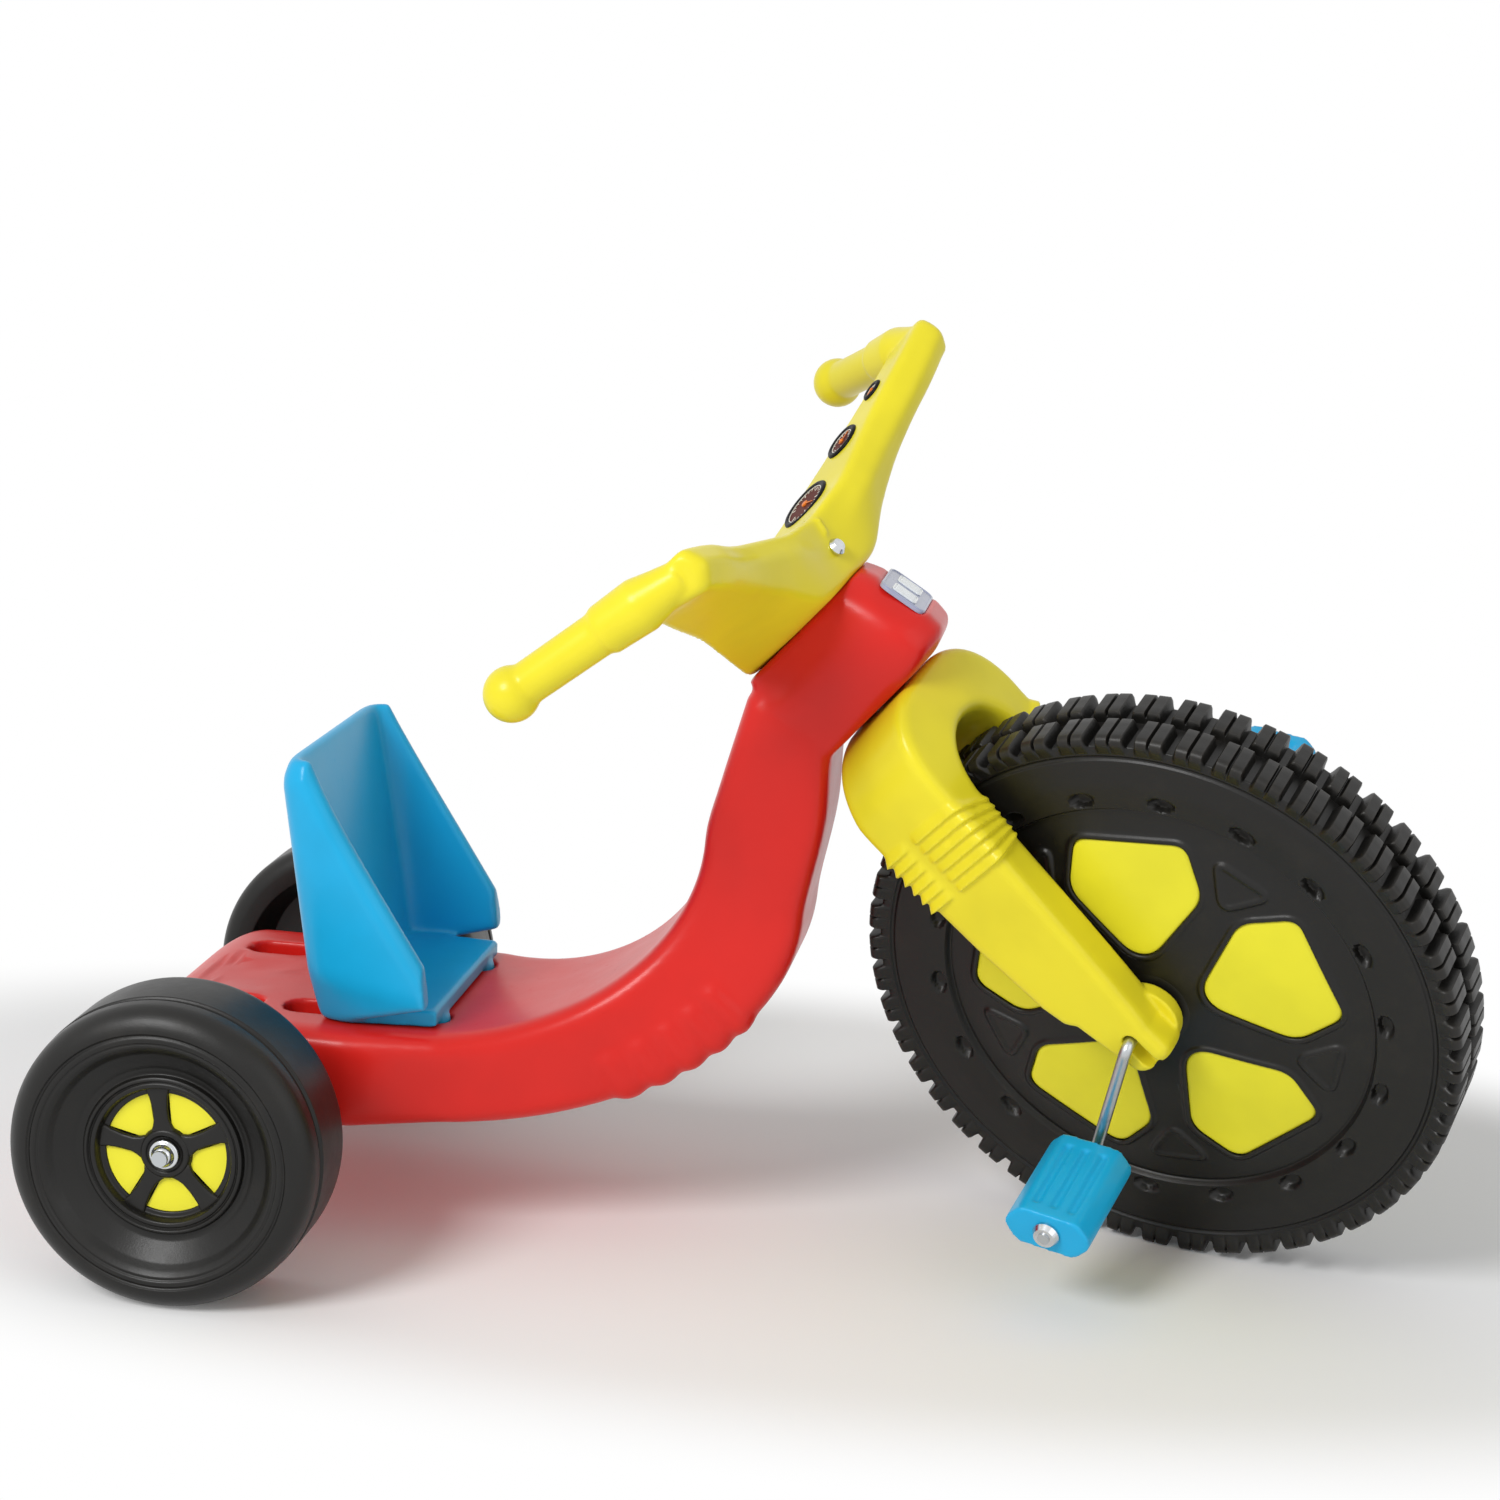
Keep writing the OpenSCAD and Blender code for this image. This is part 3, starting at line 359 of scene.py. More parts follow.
def smoothRings(rings, steps):  # rings on a smooth curve through the given ones
    rings = np.asarray(rings)
    way = np.maximum(np.linalg.norm(np.diff(rings.mean(axis=1), axis=0), axis=1), 0.01)
    at = np.concatenate([[0], np.cumsum(way)])
    slope = np.gradient(rings, at, axis=0)
    made = []
    for i, d in enumerate(way):
        for f in np.arange(steps) / steps:
            made.append((1 + 2 * f) * (1 - f) ** 2 * rings[i] + f * (1 - f) ** 2 * d * slope[i]
                        + f * f * (3 - 2 * f) * rings[i + 1] + f * f * (f - 1) * d * slope[i + 1])
    return np.array(made + [rings[-1]])


def grid(rings):  # a skin over rings of points that close on themselves
    rings = np.asarray(rings)
    count, size = rings.shape[:2]
    faces = [(k * size + i, k * size + (i + 1) % size, (k + 1) * size + (i + 1) % size, (k + 1) * size + i)
             for k in range(count - 1) for i in range(size)]
    return rings.reshape(-1, 3), faces


def loft(rings):  # a skin with both ends closed
    points, faces = grid(rings)
    size = len(rings[0])
    return points, faces + [tuple(range(size))[::-1], tuple(range(len(points) - size, len(points)))]


def fullTurn(steps):
    return np.linspace(0, 2 * pi, steps, endpoint=False)


def around(r, angles, z):
    return np.stack([r * np.cos(angles), r * np.sin(angles), np.full(len(angles), z)], axis=1)


def circles(profile, steps):  # a ring for each radius and height of a profile
    return [around(r, fullTurn(steps), z) for r, z in profile]


def lathe(profile, steps):
    return grid(circles(profile, steps))


def tubeAlong(outline, radius, height, flat=1.0, sides=8):  # a round bead along a closed flat outline
    outline = np.asarray(outline, float)[:, :2]
    along = np.roll(outline, -1, axis=0) - np.roll(outline, 1, axis=0)
    along /= np.linalg.norm(along, axis=1)[:, None]
    out = np.stack([along[:, 1], -along[:, 0]], axis=1)
    rows = []
    for a in fullTurn(sides):
        ring = outline + out * radius * cos(a)
        rows.append(np.column_stack([ring, np.full(len(ring), height + radius * flat * sin(a))]))
    return grid(rows + rows[:1])


def evaluated(thing):
    return bpy.data.meshes.new_from_object(thing.evaluated_get(bpy.context.evaluated_depsgraph_get()))


def plate(outlines, low, high, bevel):  # a flat plate with holes and rounded edges, from a filled curve
    curve = bpy.data.curves.new("plate", "CURVE")
    curve.dimensions, curve.fill_mode = "2D", "BOTH"
    curve.extrude, curve.bevel_depth, curve.bevel_resolution = (high - low) / 2 - bevel, bevel, 2
    curve.offset = -bevel
    for outline in outlines:
        spline = curve.splines.new("POLY")
        spline.points.add(len(outline) - 1)
        for point, p in zip(spline.points, outline):
            point.co = (p[0], p[1], 0, 1)
        spline.use_cyclic_u = True
    holder = newObject("plate", curve)
    flat = evaluated(holder)
    points = np.array([v.co for v in flat.vertices]) + [0, 0, (low + high) / 2]
    faces = [tuple(f.vertices) for f in flat.polygons]
    bpy.data.objects.remove(holder)
    bpy.data.curves.remove(curve)
    bpy.data.meshes.remove(flat)
    return points, faces


def joined(shells):
    points, faces, start = [], [], 0
    for shellPoints, shellFaces in shells:
        points.append(np.asarray(shellPoints, float))
        faces += [tuple(i + start for i in face) for face in shellFaces]
        start += len(shellPoints)
    return np.concatenate(points), faces


def meshOf(shells, place=None, crease=35.0):
    points, faces = joined(shells)
    if place:
        points = moved(points, place)
    mesh = bpy.data.meshes.new("mesh")
    mesh.from_pydata((points * mm).tolist(), [], faces)
    work = bmesh.new()
    work.from_mesh(mesh)
    bmesh.ops.remove_doubles(work, verts=work.verts, dist=0.01 * mm)
    bmesh.ops.recalc_face_normals(work, faces=work.faces)
    work.to_mesh(mesh)
    work.free()
    mesh.shade_smooth()
    mesh.set_sharp_from_angle(angle=radians(crease))
    return mesh


def pointsOf(mesh):
    flat = np.empty(len(mesh.vertices) * 3)
    mesh.vertices.foreach_get("co", flat)
    return flat.reshape(-1, 3) / mm


def setPoints(mesh, points):
    mesh.vertices.foreach_set("co", (points * mm).ravel())


def softMoulding(mesh, skin, cutters=()):  # one skin with soft edges, as a blown moulding has
    work = newObject("work", mesh)
    tools = [newObject("tool", tool) for tool in cutters]

    def stack(kind, **settings):
        modifier = work.modifiers.new(kind, kind)
        for name, value in settings.items():
            setattr(modifier, name, value)

    stack("REMESH", mode="VOXEL", voxel_size=skin["voxel"] * mm)
    for tool in tools:
        stack("BOOLEAN", operation="DIFFERENCE", object=tool, solver="EXACT")
    if tools:
        stack("REMESH", mode="VOXEL", voxel_size=skin["voxel"] * mm)
    stack("SMOOTH", factor=0.5, iterations=skin["rounds"])
    stack("DECIMATE", ratio=skin["keep"])
    made = evaluated(work)
    for thing in [work, *tools]:
        data = thing.data
        bpy.data.objects.remove(thing)
        bpy.data.meshes.remove(data)
    made.shade_smooth()
    return made


def addPiece(name, mesh, body, slot, node=None, finish=None):
    mesh.name = name
    mesh.materials.clear()
    mesh.materials.append(finish or finishes[slot])
    piece = newObject(name, mesh)
    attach(piece, body)
    if node:
        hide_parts(node)


frameForm = {
    "deckTop": 150.0, "deckLow": 80.0, "deckSide": 115.0, "deckBack": 75.0, "deckFront": 140.0,
    "deckRings": (-26.0, -13.0, 0.0, 40.0, 80.0), "draw": 9.0, "round": 20.0,
    "endRound": 36.0, "endDraw": 70.0, "endRise": 16.0, "endFall": 24.0, "tailLift": 4.0,
    "bendLow": (-129.0, -62.0), "bendHigh": (-137.0, 21.0), "bendLift": 6.0, "bendDraw": (17.0, 7.0),
    "neckSide": 48.0, "neckIn": 1.0, "neckRound": 14.0, "neckRidge": 6.0, "ridgeShare": 0.42,
    # each neck ring as the ahead and up of its low and its high side
    "neck": [((-78, -32), (-105, 38)), ((-44, -5), (-52, 64)), ((-31, 6), (-36, 65))],
    "neckDraw": [(3, 4), (4, 6), (6, 9)], "neckSteps": 8,
    "flutes": 5, "fluteRise": 3.6, "fluteFrom": 30.0, "fluteTo": 62.0, "fluteCurve": 0.8,
    "fluteEnd": (0.38, 0.52), "fluteSide": (0.55, 0.9), "fluteUnder": (0.0, 0.2),
    "boss": [(16.0, 86.0), (16.0, 116.5), (14.6, 118.0)],
    "pocketLength": 50.0, "pocketWidth": 26.0, "pocketDepth": 20.0, "pocketSide": 60.0,
    "pockets": (115.0, 50.0, -15.0),
    "tray": (-50.0, 4.0), "traySide": 30.0, "trayDepth": 2.0, "trayRound": 16.0, "trayEdge": (-2.5, 1.0),
    "skin": {"voxel": 2.0, "rounds": 6, "keep": 0.6},
}
# each head ring as the height in front and behind, the reach back and ahead, and the half width
headForm = {
    "rings": [(-1.6, -1.6, 43, 54, 38), (3, 4, 45, 66, 43), (13, 29, 46, 70, 47), (60, 61, 46, 62, 40),
              (70.3, 70.3, 44, 58, 37)], "cut": 17.0, "round": 9.0, "steps": 6,
}
lampForm = {
    "height": 34.0, "width": 66.0, "round": 8.0, "ahead": 66.0, "up": 38.0, "tilt": 9.5, "gap": 0.6,
    "sunk": 2.0, "lens": (17.0, 20.0), "lensSide": 15.5, "lensRound": 3.0, "fluteStep": 2.6,
    "flute": (0.42, 1.0),
}


def headPoint(t, s):
    return np.array(headPlace @ Vector((t, 0, headBottom + s)))


def frameRing(low, high, wLow, wHigh, r, ridge=0.0):
    side = np.array([0, 1.0, 0])
    mid = low + frameForm["ridgeShare"] * (high - low)
    wMid = wLow + frameForm["ridgeShare"] * (wHigh - wLow) + ridge
    return softRing([low - side * wLow, low + side * wLow, mid + side * wMid, high + side * wHigh,
                     high - side * wHigh, mid - side * wMid], r, 6, 8)


def deckRing(x, drop=0.0):
    f = frameForm
    w = f["deckSide"] - f["endDraw"] * drop
    lift = f["tailLift"] * min(1.0, max(0.0, -x / (f["deckBack"] - f["endRound"])))
    return frameRing(np.array([x, 0, f["deckLow"] + lift + f["endRise"] * drop]),
                     np.array([x, 0, f["deckTop"] - f["endFall"] * drop]), w - f["draw"], w, f["round"])


def bendRing(a):
    f = frameForm
    sine, fall = sin(radians(a)), 1 - cos(radians(a))

    def point(foot, end):
        x, _, z = headPoint(*end)
        return np.array([f["deckFront"] + (x - f["deckFront"]) * sine, 0, foot + (z - foot) * fall])

    low, high = point(f["deckLow"] + f["bendLift"], f["bendLow"]), point(f["deckTop"], f["bendHigh"])
    startLow, startHigh = (f["deckSide"] - draw for draw in f["bendDraw"])
    wLow = startLow + (f["neckSide"] - startLow) * sine
    wHigh = startHigh + (f["neckSide"] - f["neckIn"] - startHigh) * sine
    ring = frameRing(low, high, wLow, wHigh, f["round"] + (f["neckRound"] - f["round"]) * sine,
                     f["neckRidge"] * sine ** 4)
    turn = (a - f["fluteFrom"]) / (f["fluteTo"] - f["fluteFrom"])
    if 0 < turn < 1:  # rounded flutes on the lower half of the sides
        up = unit(high - low)
        share = (ring - low) @ up / length(high - low)
        bump = f["fluteRise"] * abs(sin(pi * turn * f["flutes"])) ** f["fluteCurve"]
        outer = easeBetween(*f["fluteSide"], abs(ring[:, 1]) / wLow)
        ring[:, 1] += np.sign(ring[:, 1]) * bump * (1 - easeBetween(*f["fluteEnd"], share)) * outer
        ring -= up * (bump * (1 - easeBetween(*f["fluteUnder"], share)) * outer)[:, None]
    return ring


def headRing(front, rear, back, ahead, half):
    cut = headForm["cut"]
    low, high = headBottom + front, headBottom + rear
    lift = low + (rear - front) * cut / (back + ahead)
    corners = [(-back, -half, high), (ahead - cut, -half, lift), (ahead, cut - half, low),
               (ahead, half - cut, low), (ahead - cut, half, lift), (-back, half, high)]
    return moved(softRing(corners, headForm["round"], 6, 4), headPlace)


def lampPlace():
    return (headPlace @ Matrix.Translation((lampForm["ahead"], 0, headBottom + lampForm["up"]))
            @ turned("Y", 90 - lampForm["tilt"]))


def lampOutline(gap=0.0):
    return flatRing(box(lampForm["height"] / 2 + gap, lampForm["width"] / 2 + gap), lampForm["round"])


def pressTray(mesh):  # the shallow tray behind the seat
    f, points = frameForm, pointsOf(mesh)
    r, (start, end) = f["trayRound"], f["tray"]
    q = np.stack([abs(points[:, 0] - (start + end) / 2) - (end - start) / 2 + r,
                  abs(points[:, 1]) - f["traySide"] + r], axis=1)
    away = np.linalg.norm(np.maximum(q, 0), axis=1) + np.minimum(np.max(q, axis=1), 0) - r
    top = easeBetween(f["deckTop"] - 30, f["deckTop"] - 20, points[:, 2])
    points[:, 2] -= f["trayDepth"] * (1 - easeBetween(*f["trayEdge"], away)) * top
    setPoints(mesh, points)


def makeFrame():
    f = frameForm
    rear = [deckRing(f["endRound"] * (1 - sin(a)) - f["deckBack"], 1 - cos(a))
            for a in np.radians(np.linspace(90, 0, 16))]
    deck = [deckRing(x) for x in f["deckRings"]]
    turns = np.concatenate([np.arange(0, f["fluteFrom"], 3), np.arange(f["fluteFrom"], f["fluteTo"], 0.6),
                            np.arange(f["fluteTo"], 91, 3)])
    bend = [bendRing(a) for a in turns]
    neck = [frameRing(headPoint(*low), headPoint(*high), f["neckSide"] - draw[0], f["neckSide"] - draw[1],
                      f["neckRound"], f["neckRidge"]) for (low, high), draw in zip(f["neck"], f["neckDraw"])]
    curve = smoothRings([bendRing(80), bendRing(90), *neck[:2]], f["neckSteps"])[f["neckSteps"] + 1:]
    shells = [loft([*rear, *deck, *bend, *curve, *neck[2:]]),
              loft(smoothRings([headRing(*ring) for ring in headForm["rings"]], headForm["steps"]))]
    boss = loft(circles(f["boss"], 48))  # round the rear axle
    shells += [placed(boss, axlePlace(side)) for side in (-1, 1)]
    cutters = [meshOf([plate([lampOutline(lampForm["gap"])], -lampForm["sunk"], 40, 0.2)], lampPlace())]
    pocket = slotOutline(f["pocketLength"], f["pocketWidth"])
    for x in f["pockets"]:
        for side in (-1, 1):
            hole = plate([pocket], f["deckTop"] - f["pocketDepth"], f["deckTop"] + 20, 1.0)
            cutters.append(meshOf([hole], Matrix.Translation((x, side * f["pocketSide"], 0))))
    made = softMoulding(meshOf(shells), f["skin"], cutters)
    pressTray(made)
    addPiece("frameMoulding", made, "frame", "red_plastic", "frame_body")


makeFrame()
print("frame moulded")

seatForm = {
    "width": 212.0, "depth": 80.0, "back": 177.0, "tip": 46.0, "wall": 16.0, "topWall": 14.0,
    "tipX": 136.0, "base": 150.3, "lean": (0.28, 0.0007), "tipLean": 0.5, "square": (0.5, 0.16),
    "facet": 34.0, "facetIn": 12.0, "tipFacet": 24.0, "tipFacetIn": 2.0, "tipRise": 17.0, "share": 0.8,
    "topRound": (6.0, 15.0), "sideLeast": 4.0, "round": 6.5, "pan": 12.0, "panSide": 84.0, "panIn": 13.0,
    "pegGap": 1.0, "pegDepth": 16.3, "skin": {"voxel": 2.0, "rounds": 6, "keep": 0.7},
}


def seatPlan(a):
    c, s = cos(radians(a)), sin(radians(a))
    return np.array([seatForm["tipX"] - seatForm["depth"] * max(s, 0.0) ** seatForm["square"][0],
                     -seatForm["width"] / 2 * copysign(abs(c) ** seatForm["square"][1], c)])


def seatOut(a):
    d = unit(seatPlan(min(a + 3, 180)) - seatPlan(max(a - 3, 0)))
    return np.array([-d[1], d[0]])


def seatRing(a):
    f = seatForm
    way = (f["tipX"] - seatPlan(a)[0]) / f["depth"]

    def between(tip, back):  # from its value at the wing's tip to its value at the back
        return tip + (back - tip) * min(1, way / f["share"])

    def point(d, z, ways=(1, 1)):
        p = seatPlan(a) - seatOut(a) * d * ways
        lean = (f["tipLean"] + (1 - f["tipLean"]) * way) * (f["lean"][0] - f["lean"][1] * z) * z
        return np.array([p[0] - lean, p[1], f["base"] + z])

    h, foot, knee = between(f["tip"], f["back"]), between(f["tipRise"], 0), between(f["tipFacet"], f["facet"])
    facetFoot = point(between(f["tipFacetIn"], f["facetIn"]), foot, (0, 1))  # the facet is on the sides only
    return softRing([point(f["wall"], foot), facetFoot, point(0, knee),
                     point(0, max(knee + f["sideLeast"], h - f["topRound"][1])), point(f["topRound"][0], h),
                     point(f["topWall"], h)], f["round"], 5, 4)


def makeSeat():
    f, g = seatForm, frameForm
    panBack = [seatPlan(a) - seatOut(a) * f["panIn"] for a in np.linspace(36, 144, 28)]
    pan = [(f["tipX"], -f["panSide"]), *panBack, (f["tipX"], f["panSide"])]
    shells = [loft([seatRing(a) for a in np.linspace(0, 180, 73)]),
              plate([pan], f["base"], f["base"] + f["pan"], 1.0)]
    peg = plate([slotOutline(g["pocketLength"] - f["pegGap"], g["pocketWidth"] - f["pegGap"])],
                f["base"] - f["pegDepth"], f["base"] + 2, 1.0)
    for side in (-1, 1):
        shells.append(placed(peg, Matrix.Translation((g["pockets"][0], side * g["pocketSide"], 0))))
    addPiece("seatMoulding", softMoulding(meshOf(shells), f["skin"]), "seat", "blue_plastic", "seat")


makeSeat()
print("seat moulded")

forkForm = {
    "legIn": 37.0, "legOut": 70.0, "archTop": 221.0, "crownTop": 263.0, "crownRound": 60.0, "square": 0.82,
    "footLow": 24.0, "footRound": 8.0, "footTurns": (12, 28, 44, 60, 75, 90), "legRound": 9.0,
    "footFront": 16.0, "crownFront": 44.0, "frontCurve": 0.8,
    "ribs": 6, "ribRise": 3.8, "ribLow": 145.36, "ribHigh": 195.36, "ribSide": 0.9, "ribStep": 0.08,
    "strip": (0.3, 0.33, 0.42, 0.45),
    # the back edge: share of the leg's length, depth behind the axis
    "back": [(-0.15, 13), (0.02, 20), (0.16, 25), (0.185, 31), (0.28, 35), (0.57, 38), (0.8, 38),
             (1.2, 35.5), (1.35, 29.5), (1.43, 26)],
    "boss": [(22.5, 33.9), (24.0, 35.4), (24.0, 46.0)], "slot": (5.2, 48.0), "slotFloor": 57.7,
    "bore": 10.4, "skin": {"voxel": 1.0, "rounds": 2, "keep": 0.5},
}
legLength = forkForm["archTop"] - forkForm["legIn"]


def forkRing(inner, outer, grow, side):
    f = forkForm
    s = outer[1]
    climb = (max(s, 0) / f["crownTop"]) ** f["frontCurve"]
    ahead = f["footFront"] + (f["crownFront"] - f["footFront"]) * climb + grow
    back = -np.interp(s / legLength, *zip(*f["back"])) - grow
    yRib = outer[0] + max(0, grow) * f["ribSide"]
    t = [back + u * (ahead - back) for u in f["strip"]]
    corners = [(back, inner[0], inner[1]), (ahead, inner[0], inner[1]), (ahead, yRib, s), (t[3], yRib, s),
               (t[2], outer[0], s), (t[1], outer[0], s), (t[0], yRib, s), (back, yRib, s)]
    return softRing([(x, side * y, z) for x, y, z in corners], f["legRound"], 5, 3)


def forkLeg(side):
    f = forkForm
    crownFoot, crownFlat = f["crownTop"] - f["crownRound"], f["legOut"] - f["crownRound"]
    rings = []
    for a in np.radians(f["footTurns"]):
        e, s = f["footRound"] * (1 - sin(a)), f["footRound"] * (1 - cos(a)) - f["footLow"]
        rings.append(forkRing((f["legIn"] + e, s), (f["legOut"] - e, s), -e, side))
    for s in np.linspace(0, f["ribLow"] - 1, 46):
        rings.append(forkRing((f["legIn"], s), (f["legOut"], s), 0, side))
    for s in np.arange(f["ribLow"], f["ribHigh"], 0.4):
        turn = (s - f["ribLow"]) / (f["ribHigh"] - f["ribLow"]) * f["ribs"] % 1
        inner = f["ribLow"] + (s - f["ribLow"]) * (legLength - f["ribLow"]) / (crownFoot - f["ribLow"])
        tooth = min(turn / f["ribStep"], (1 - turn) / (1 - f["ribStep"]))  # a sharp step, then a long slope
        rings.append(forkRing((f["legIn"], inner), (f["legOut"], s), f["ribRise"] * tooth, side))
    for a in np.radians(np.arange(0, 81, 4)):
        c, s = cos(a), sin(a)
        outer = (crownFlat + f["crownRound"] * c ** f["square"],
                 crownFoot + f["crownRound"] * s ** f["square"])
        rings.append(forkRing((f["legIn"] * c, legLength + f["legIn"] * s), outer, 0, side))
    return rings


def makeFork():
    f = forkForm
    crown = forkRing((0, f["archTop"]), (0, f["crownTop"]), 0, 1)
    shells, cutters = [loft([*forkLeg(1), crown, *forkLeg(-1)[::-1]])], []
    half, deep = f["slot"]
    for side in (-1, 1):
        place = turned("X", side * -90)
        shells.append(placed(loft(circles(f["boss"], 48)), place))
        slot = np.array([(-half, 0), (half, 0), (half, -deep), (-half, -deep)]) * (1, -side)
        cutters += [meshOf([plate([slot], f["slotFloor"], 90, 0.2)], steerPlace @ place),
                    meshOf([plate([roundHole(f["bore"])], 20, 90, 0.2)], steerPlace @ place)]
    addPiece("forkMoulding", softMoulding(meshOf(shells, steerPlace), f["skin"], cutters), "steering",
             "yellow_plastic", "fork")


makeFork()
print("fork moulded")

barForm = {
    "side": 178.0, "round": 5.5, "cap": 7.0, "slant": 0.36, "slantFrom": 110.0, "pathRound": 9.0,
    "capDraw": [(1.0, 6.5), (0.9, 4.2), (0.7, 2.2), (0.45, 0.8), (0.2, 0.1)],
    # each edge as half width, ahead and up: rear low, front low, front high, rear high
    "edges": [[(0, -30, -0.6), (42, -30, -0.6), (168, 69, 66), (184, 74, 71)],
              [(0, 59, -0.6), (38, 61, -0.6), (56, 65, 11), (70, 71, 19.5), (98, 82, 32.5), (126, 93.5, 42),
               (154, 107, 49.5), (182, 117, 58.5)],
              [(0, 71, 45), (42, 80, 49), (100, 92, 66), (140, 110, 77), (182, 122, 87)],
              [(0, -12, 48), (39, 13, 55), (85, 41, 65), (127, 65, 74.5), (180, 87, 88)]],
    "ridge": 8.0, "ridgeFrom": (6.0, 60.0),
    "ridgeShare": [(0, 0.5), (42, 0.7), (70, 0.6), (98, 0.5), (126, 0.47), (180, 0.48)],
    "gripStart": (86, 186, 79), "gripTurn": 153.7, "gripTilt": 11.1, "grip": 27.0, "gripLength": 103.0,
    "ball": 35.0, "collar": 32.0, "collarLength": 36.0,
    "beadSpan": (0.66, 0.92), "beadOut": 1.2, "bead": (1.3, 1.7),
    "boltUp": 20.0, "boltHole": 15.0, "boltSeat": 66.0, "nutSeat": -16.0, "boltCap": 4.2, "boltFace": 63.6,
    "skin": {"voxel": 1.4, "rounds": 3, "keep": 0.5},
}
# rim and ring as the distance from the dial's edge and the height
dialForm = {
    "at": (42.5, 91.0, 130.0), "share": 0.4, "across": (40.0, 28.0, 17.0), "ticks": (24, 16, 12),
    "needle": (0.7, 2.2, -0.9), "rim": [(-4.2, 0.4), (-3.6, 1.6), (-1.4, 1.9), (-0.1, 0.9), (0.0, -2.0)],
    "ring": [(-4.2, 0.5), (-4.2, 0.95), (-4.9, 0.95), (-4.9, 0.5)], "faceEdge": 3.9, "tickEdge": 5.6,
    "longTick": (0.24, 0.45), "shortTick": (0.13, 0.28), "tickGap": (4.4, 5.1),
}
dialLooks = {
    "dialRims": finishes["dial"], "dialFaces": mouldedPlastic("dialFace", "#5c2318", 0.45, 0.0, 0.06),
    "dialMarks": mouldedPlastic("dialMarks", "#e9e4d4", 0.4, 0.1),
    "dialNeedles": mouldedPlastic("dialNeedle", "#ef7f1e", 0.35, 0.2),
}


def barCorner(i, n):
    out, ahead, up = np.array(barForm["edges"][i], float).T
    at = abs(abs(n) + np.linspace(-1, 1, 5) * barForm["pathRound"])  # the path's own bends are rounded
    return np.array([np.interp(at, out, ahead).mean(), n, barFoot + np.interp(at, out, up).mean()])


def barRidge(n):  # the crease along the front face
    low, high = barCorner(1, n), barCorner(2, n)
    share = np.interp(abs(n), *zip(*barForm["ridgeShare"]))
    way = unit(high - low)
    rise = np.array([way[2], 0, -way[0]]) * barForm["ridge"] * easeBetween(*barForm["ridgeFrom"], abs(n))
    return low + (high - low) * share + rise


def barRing(n, d=0.0):
    corners = [barCorner(0, n), barCorner(1, n), barRidge(n), barCorner(2, n), barCorner(3, n)]
    ring = softRing(drawnIn(corners, d), barForm["round"], 5, 4)
    ahead = ring[:, 0] - ring[:, 0].mean()  # the arm's end is cut on a slant
    share = easeBetween(barForm["slantFrom"], barForm["side"], abs(n))
    ring[:, 1] -= copysign(barForm["slant"], n) * ahead * share
    return ring


def gripPlace(side):
    start = Vector(barForm["gripStart"]) + Vector((0, 0, barFoot))
    place = (Matrix.Translation(start) @ turned("Z", barForm["gripTurn"])
             @ turned("Y", 90 - barForm["gripTilt"]))
    return (flipY if side < 0 else Matrix()) @ place


def boltPlace(ahead):
    return steerPlace @ Matrix.Translation((ahead, 0, barFoot + barForm["boltUp"])) @ turned("Y", 90)


def makeHandlebar():
    f = barForm
    ends = [barRing(f["side"] + f["cap"] * share, d) for share, d in f["capDraw"]]
    middle = [barRing(n) for n in np.linspace(f["side"], -f["side"], 121)]
    others = [barRing(-f["side"] - f["cap"] * share, d) for share, d in f["capDraw"][::-1]]
    shells = [loft([*ends, *middle, *others])]
    r, ball, collar, collarEnd = f["grip"] / 2, f["ball"] / 2, f["collar"] / 2, f["collarLength"]
    profile = [(0.01, -26), (collar - 5.0, -24), (collar - 2.0, -8), (collar + 1.2, 6),
               (collar, collarEnd - 2.5), (collar - 1.0, collarEnd - 0.4), (r + 0.4, collarEnd)]
    profile += [(ball * cos(a), f["gripLength"] + ball * sin(a))
                for a in np.linspace(-acos(r / ball), pi / 2 - 0.001, 14)]
    shells += [placed(lathe(profile, 48), gripPlace(side)) for side in (-1, 1)]
    foot, head = barCorner(1, 0), barCorner(2, 0)
    bead = []  # the short bead above the bolt
    for share in np.linspace(*f["beadSpan"], 12):
        p = foot + (head - foot) * share + [f["beadOut"], 0, 0]
        bead.append([p + [f["bead"][0] * cos(a), f["bead"][1] * sin(a), 0]
                     for a in fullTurn(12)])
    shells.append(loft(bead))
    cutters = [meshOf([plate([roundHole(f["boltHole"])], low, high, 0.3)], boltPlace(0))
               for low, high in ((f["boltSeat"], 130), (-130, f["nutSeat"]))]
    addPiece("handlebarMoulding", softMoulding(meshOf(shells, steerPlace), f["skin"], cutters), "steering",
             "yellow_plastic", "handlebar")
    c = f["boltCap"]
    cap = [(0.01, -3), (c, -3), (c, 1.2), (c - 0.5, 2.2), (c - 1.8, 3.4), (1.6, 4.1), (0.01, 4.2)]
    addPiece("boltCap", meshOf([lathe(softLine(cap, 0.5), 48)], boltPlace(f["boltFace"])), "steering",
             "bright_steel")


def dialPlace(n):
    def upper(at):
        return barCorner(3, at) + (barCorner(2, at) - barCorner(3, at)) * dialForm["share"]

    out = unit(np.cross(barCorner(2, n) - barCorner(3, n), upper(n + 1) - upper(n - 1)))
    return (Matrix.Translation(Vector(upper(n))) @ turned("Z", degrees(atan2(out[1], out[0])))
            @ turned("Y", degrees(acos(out[2]))))


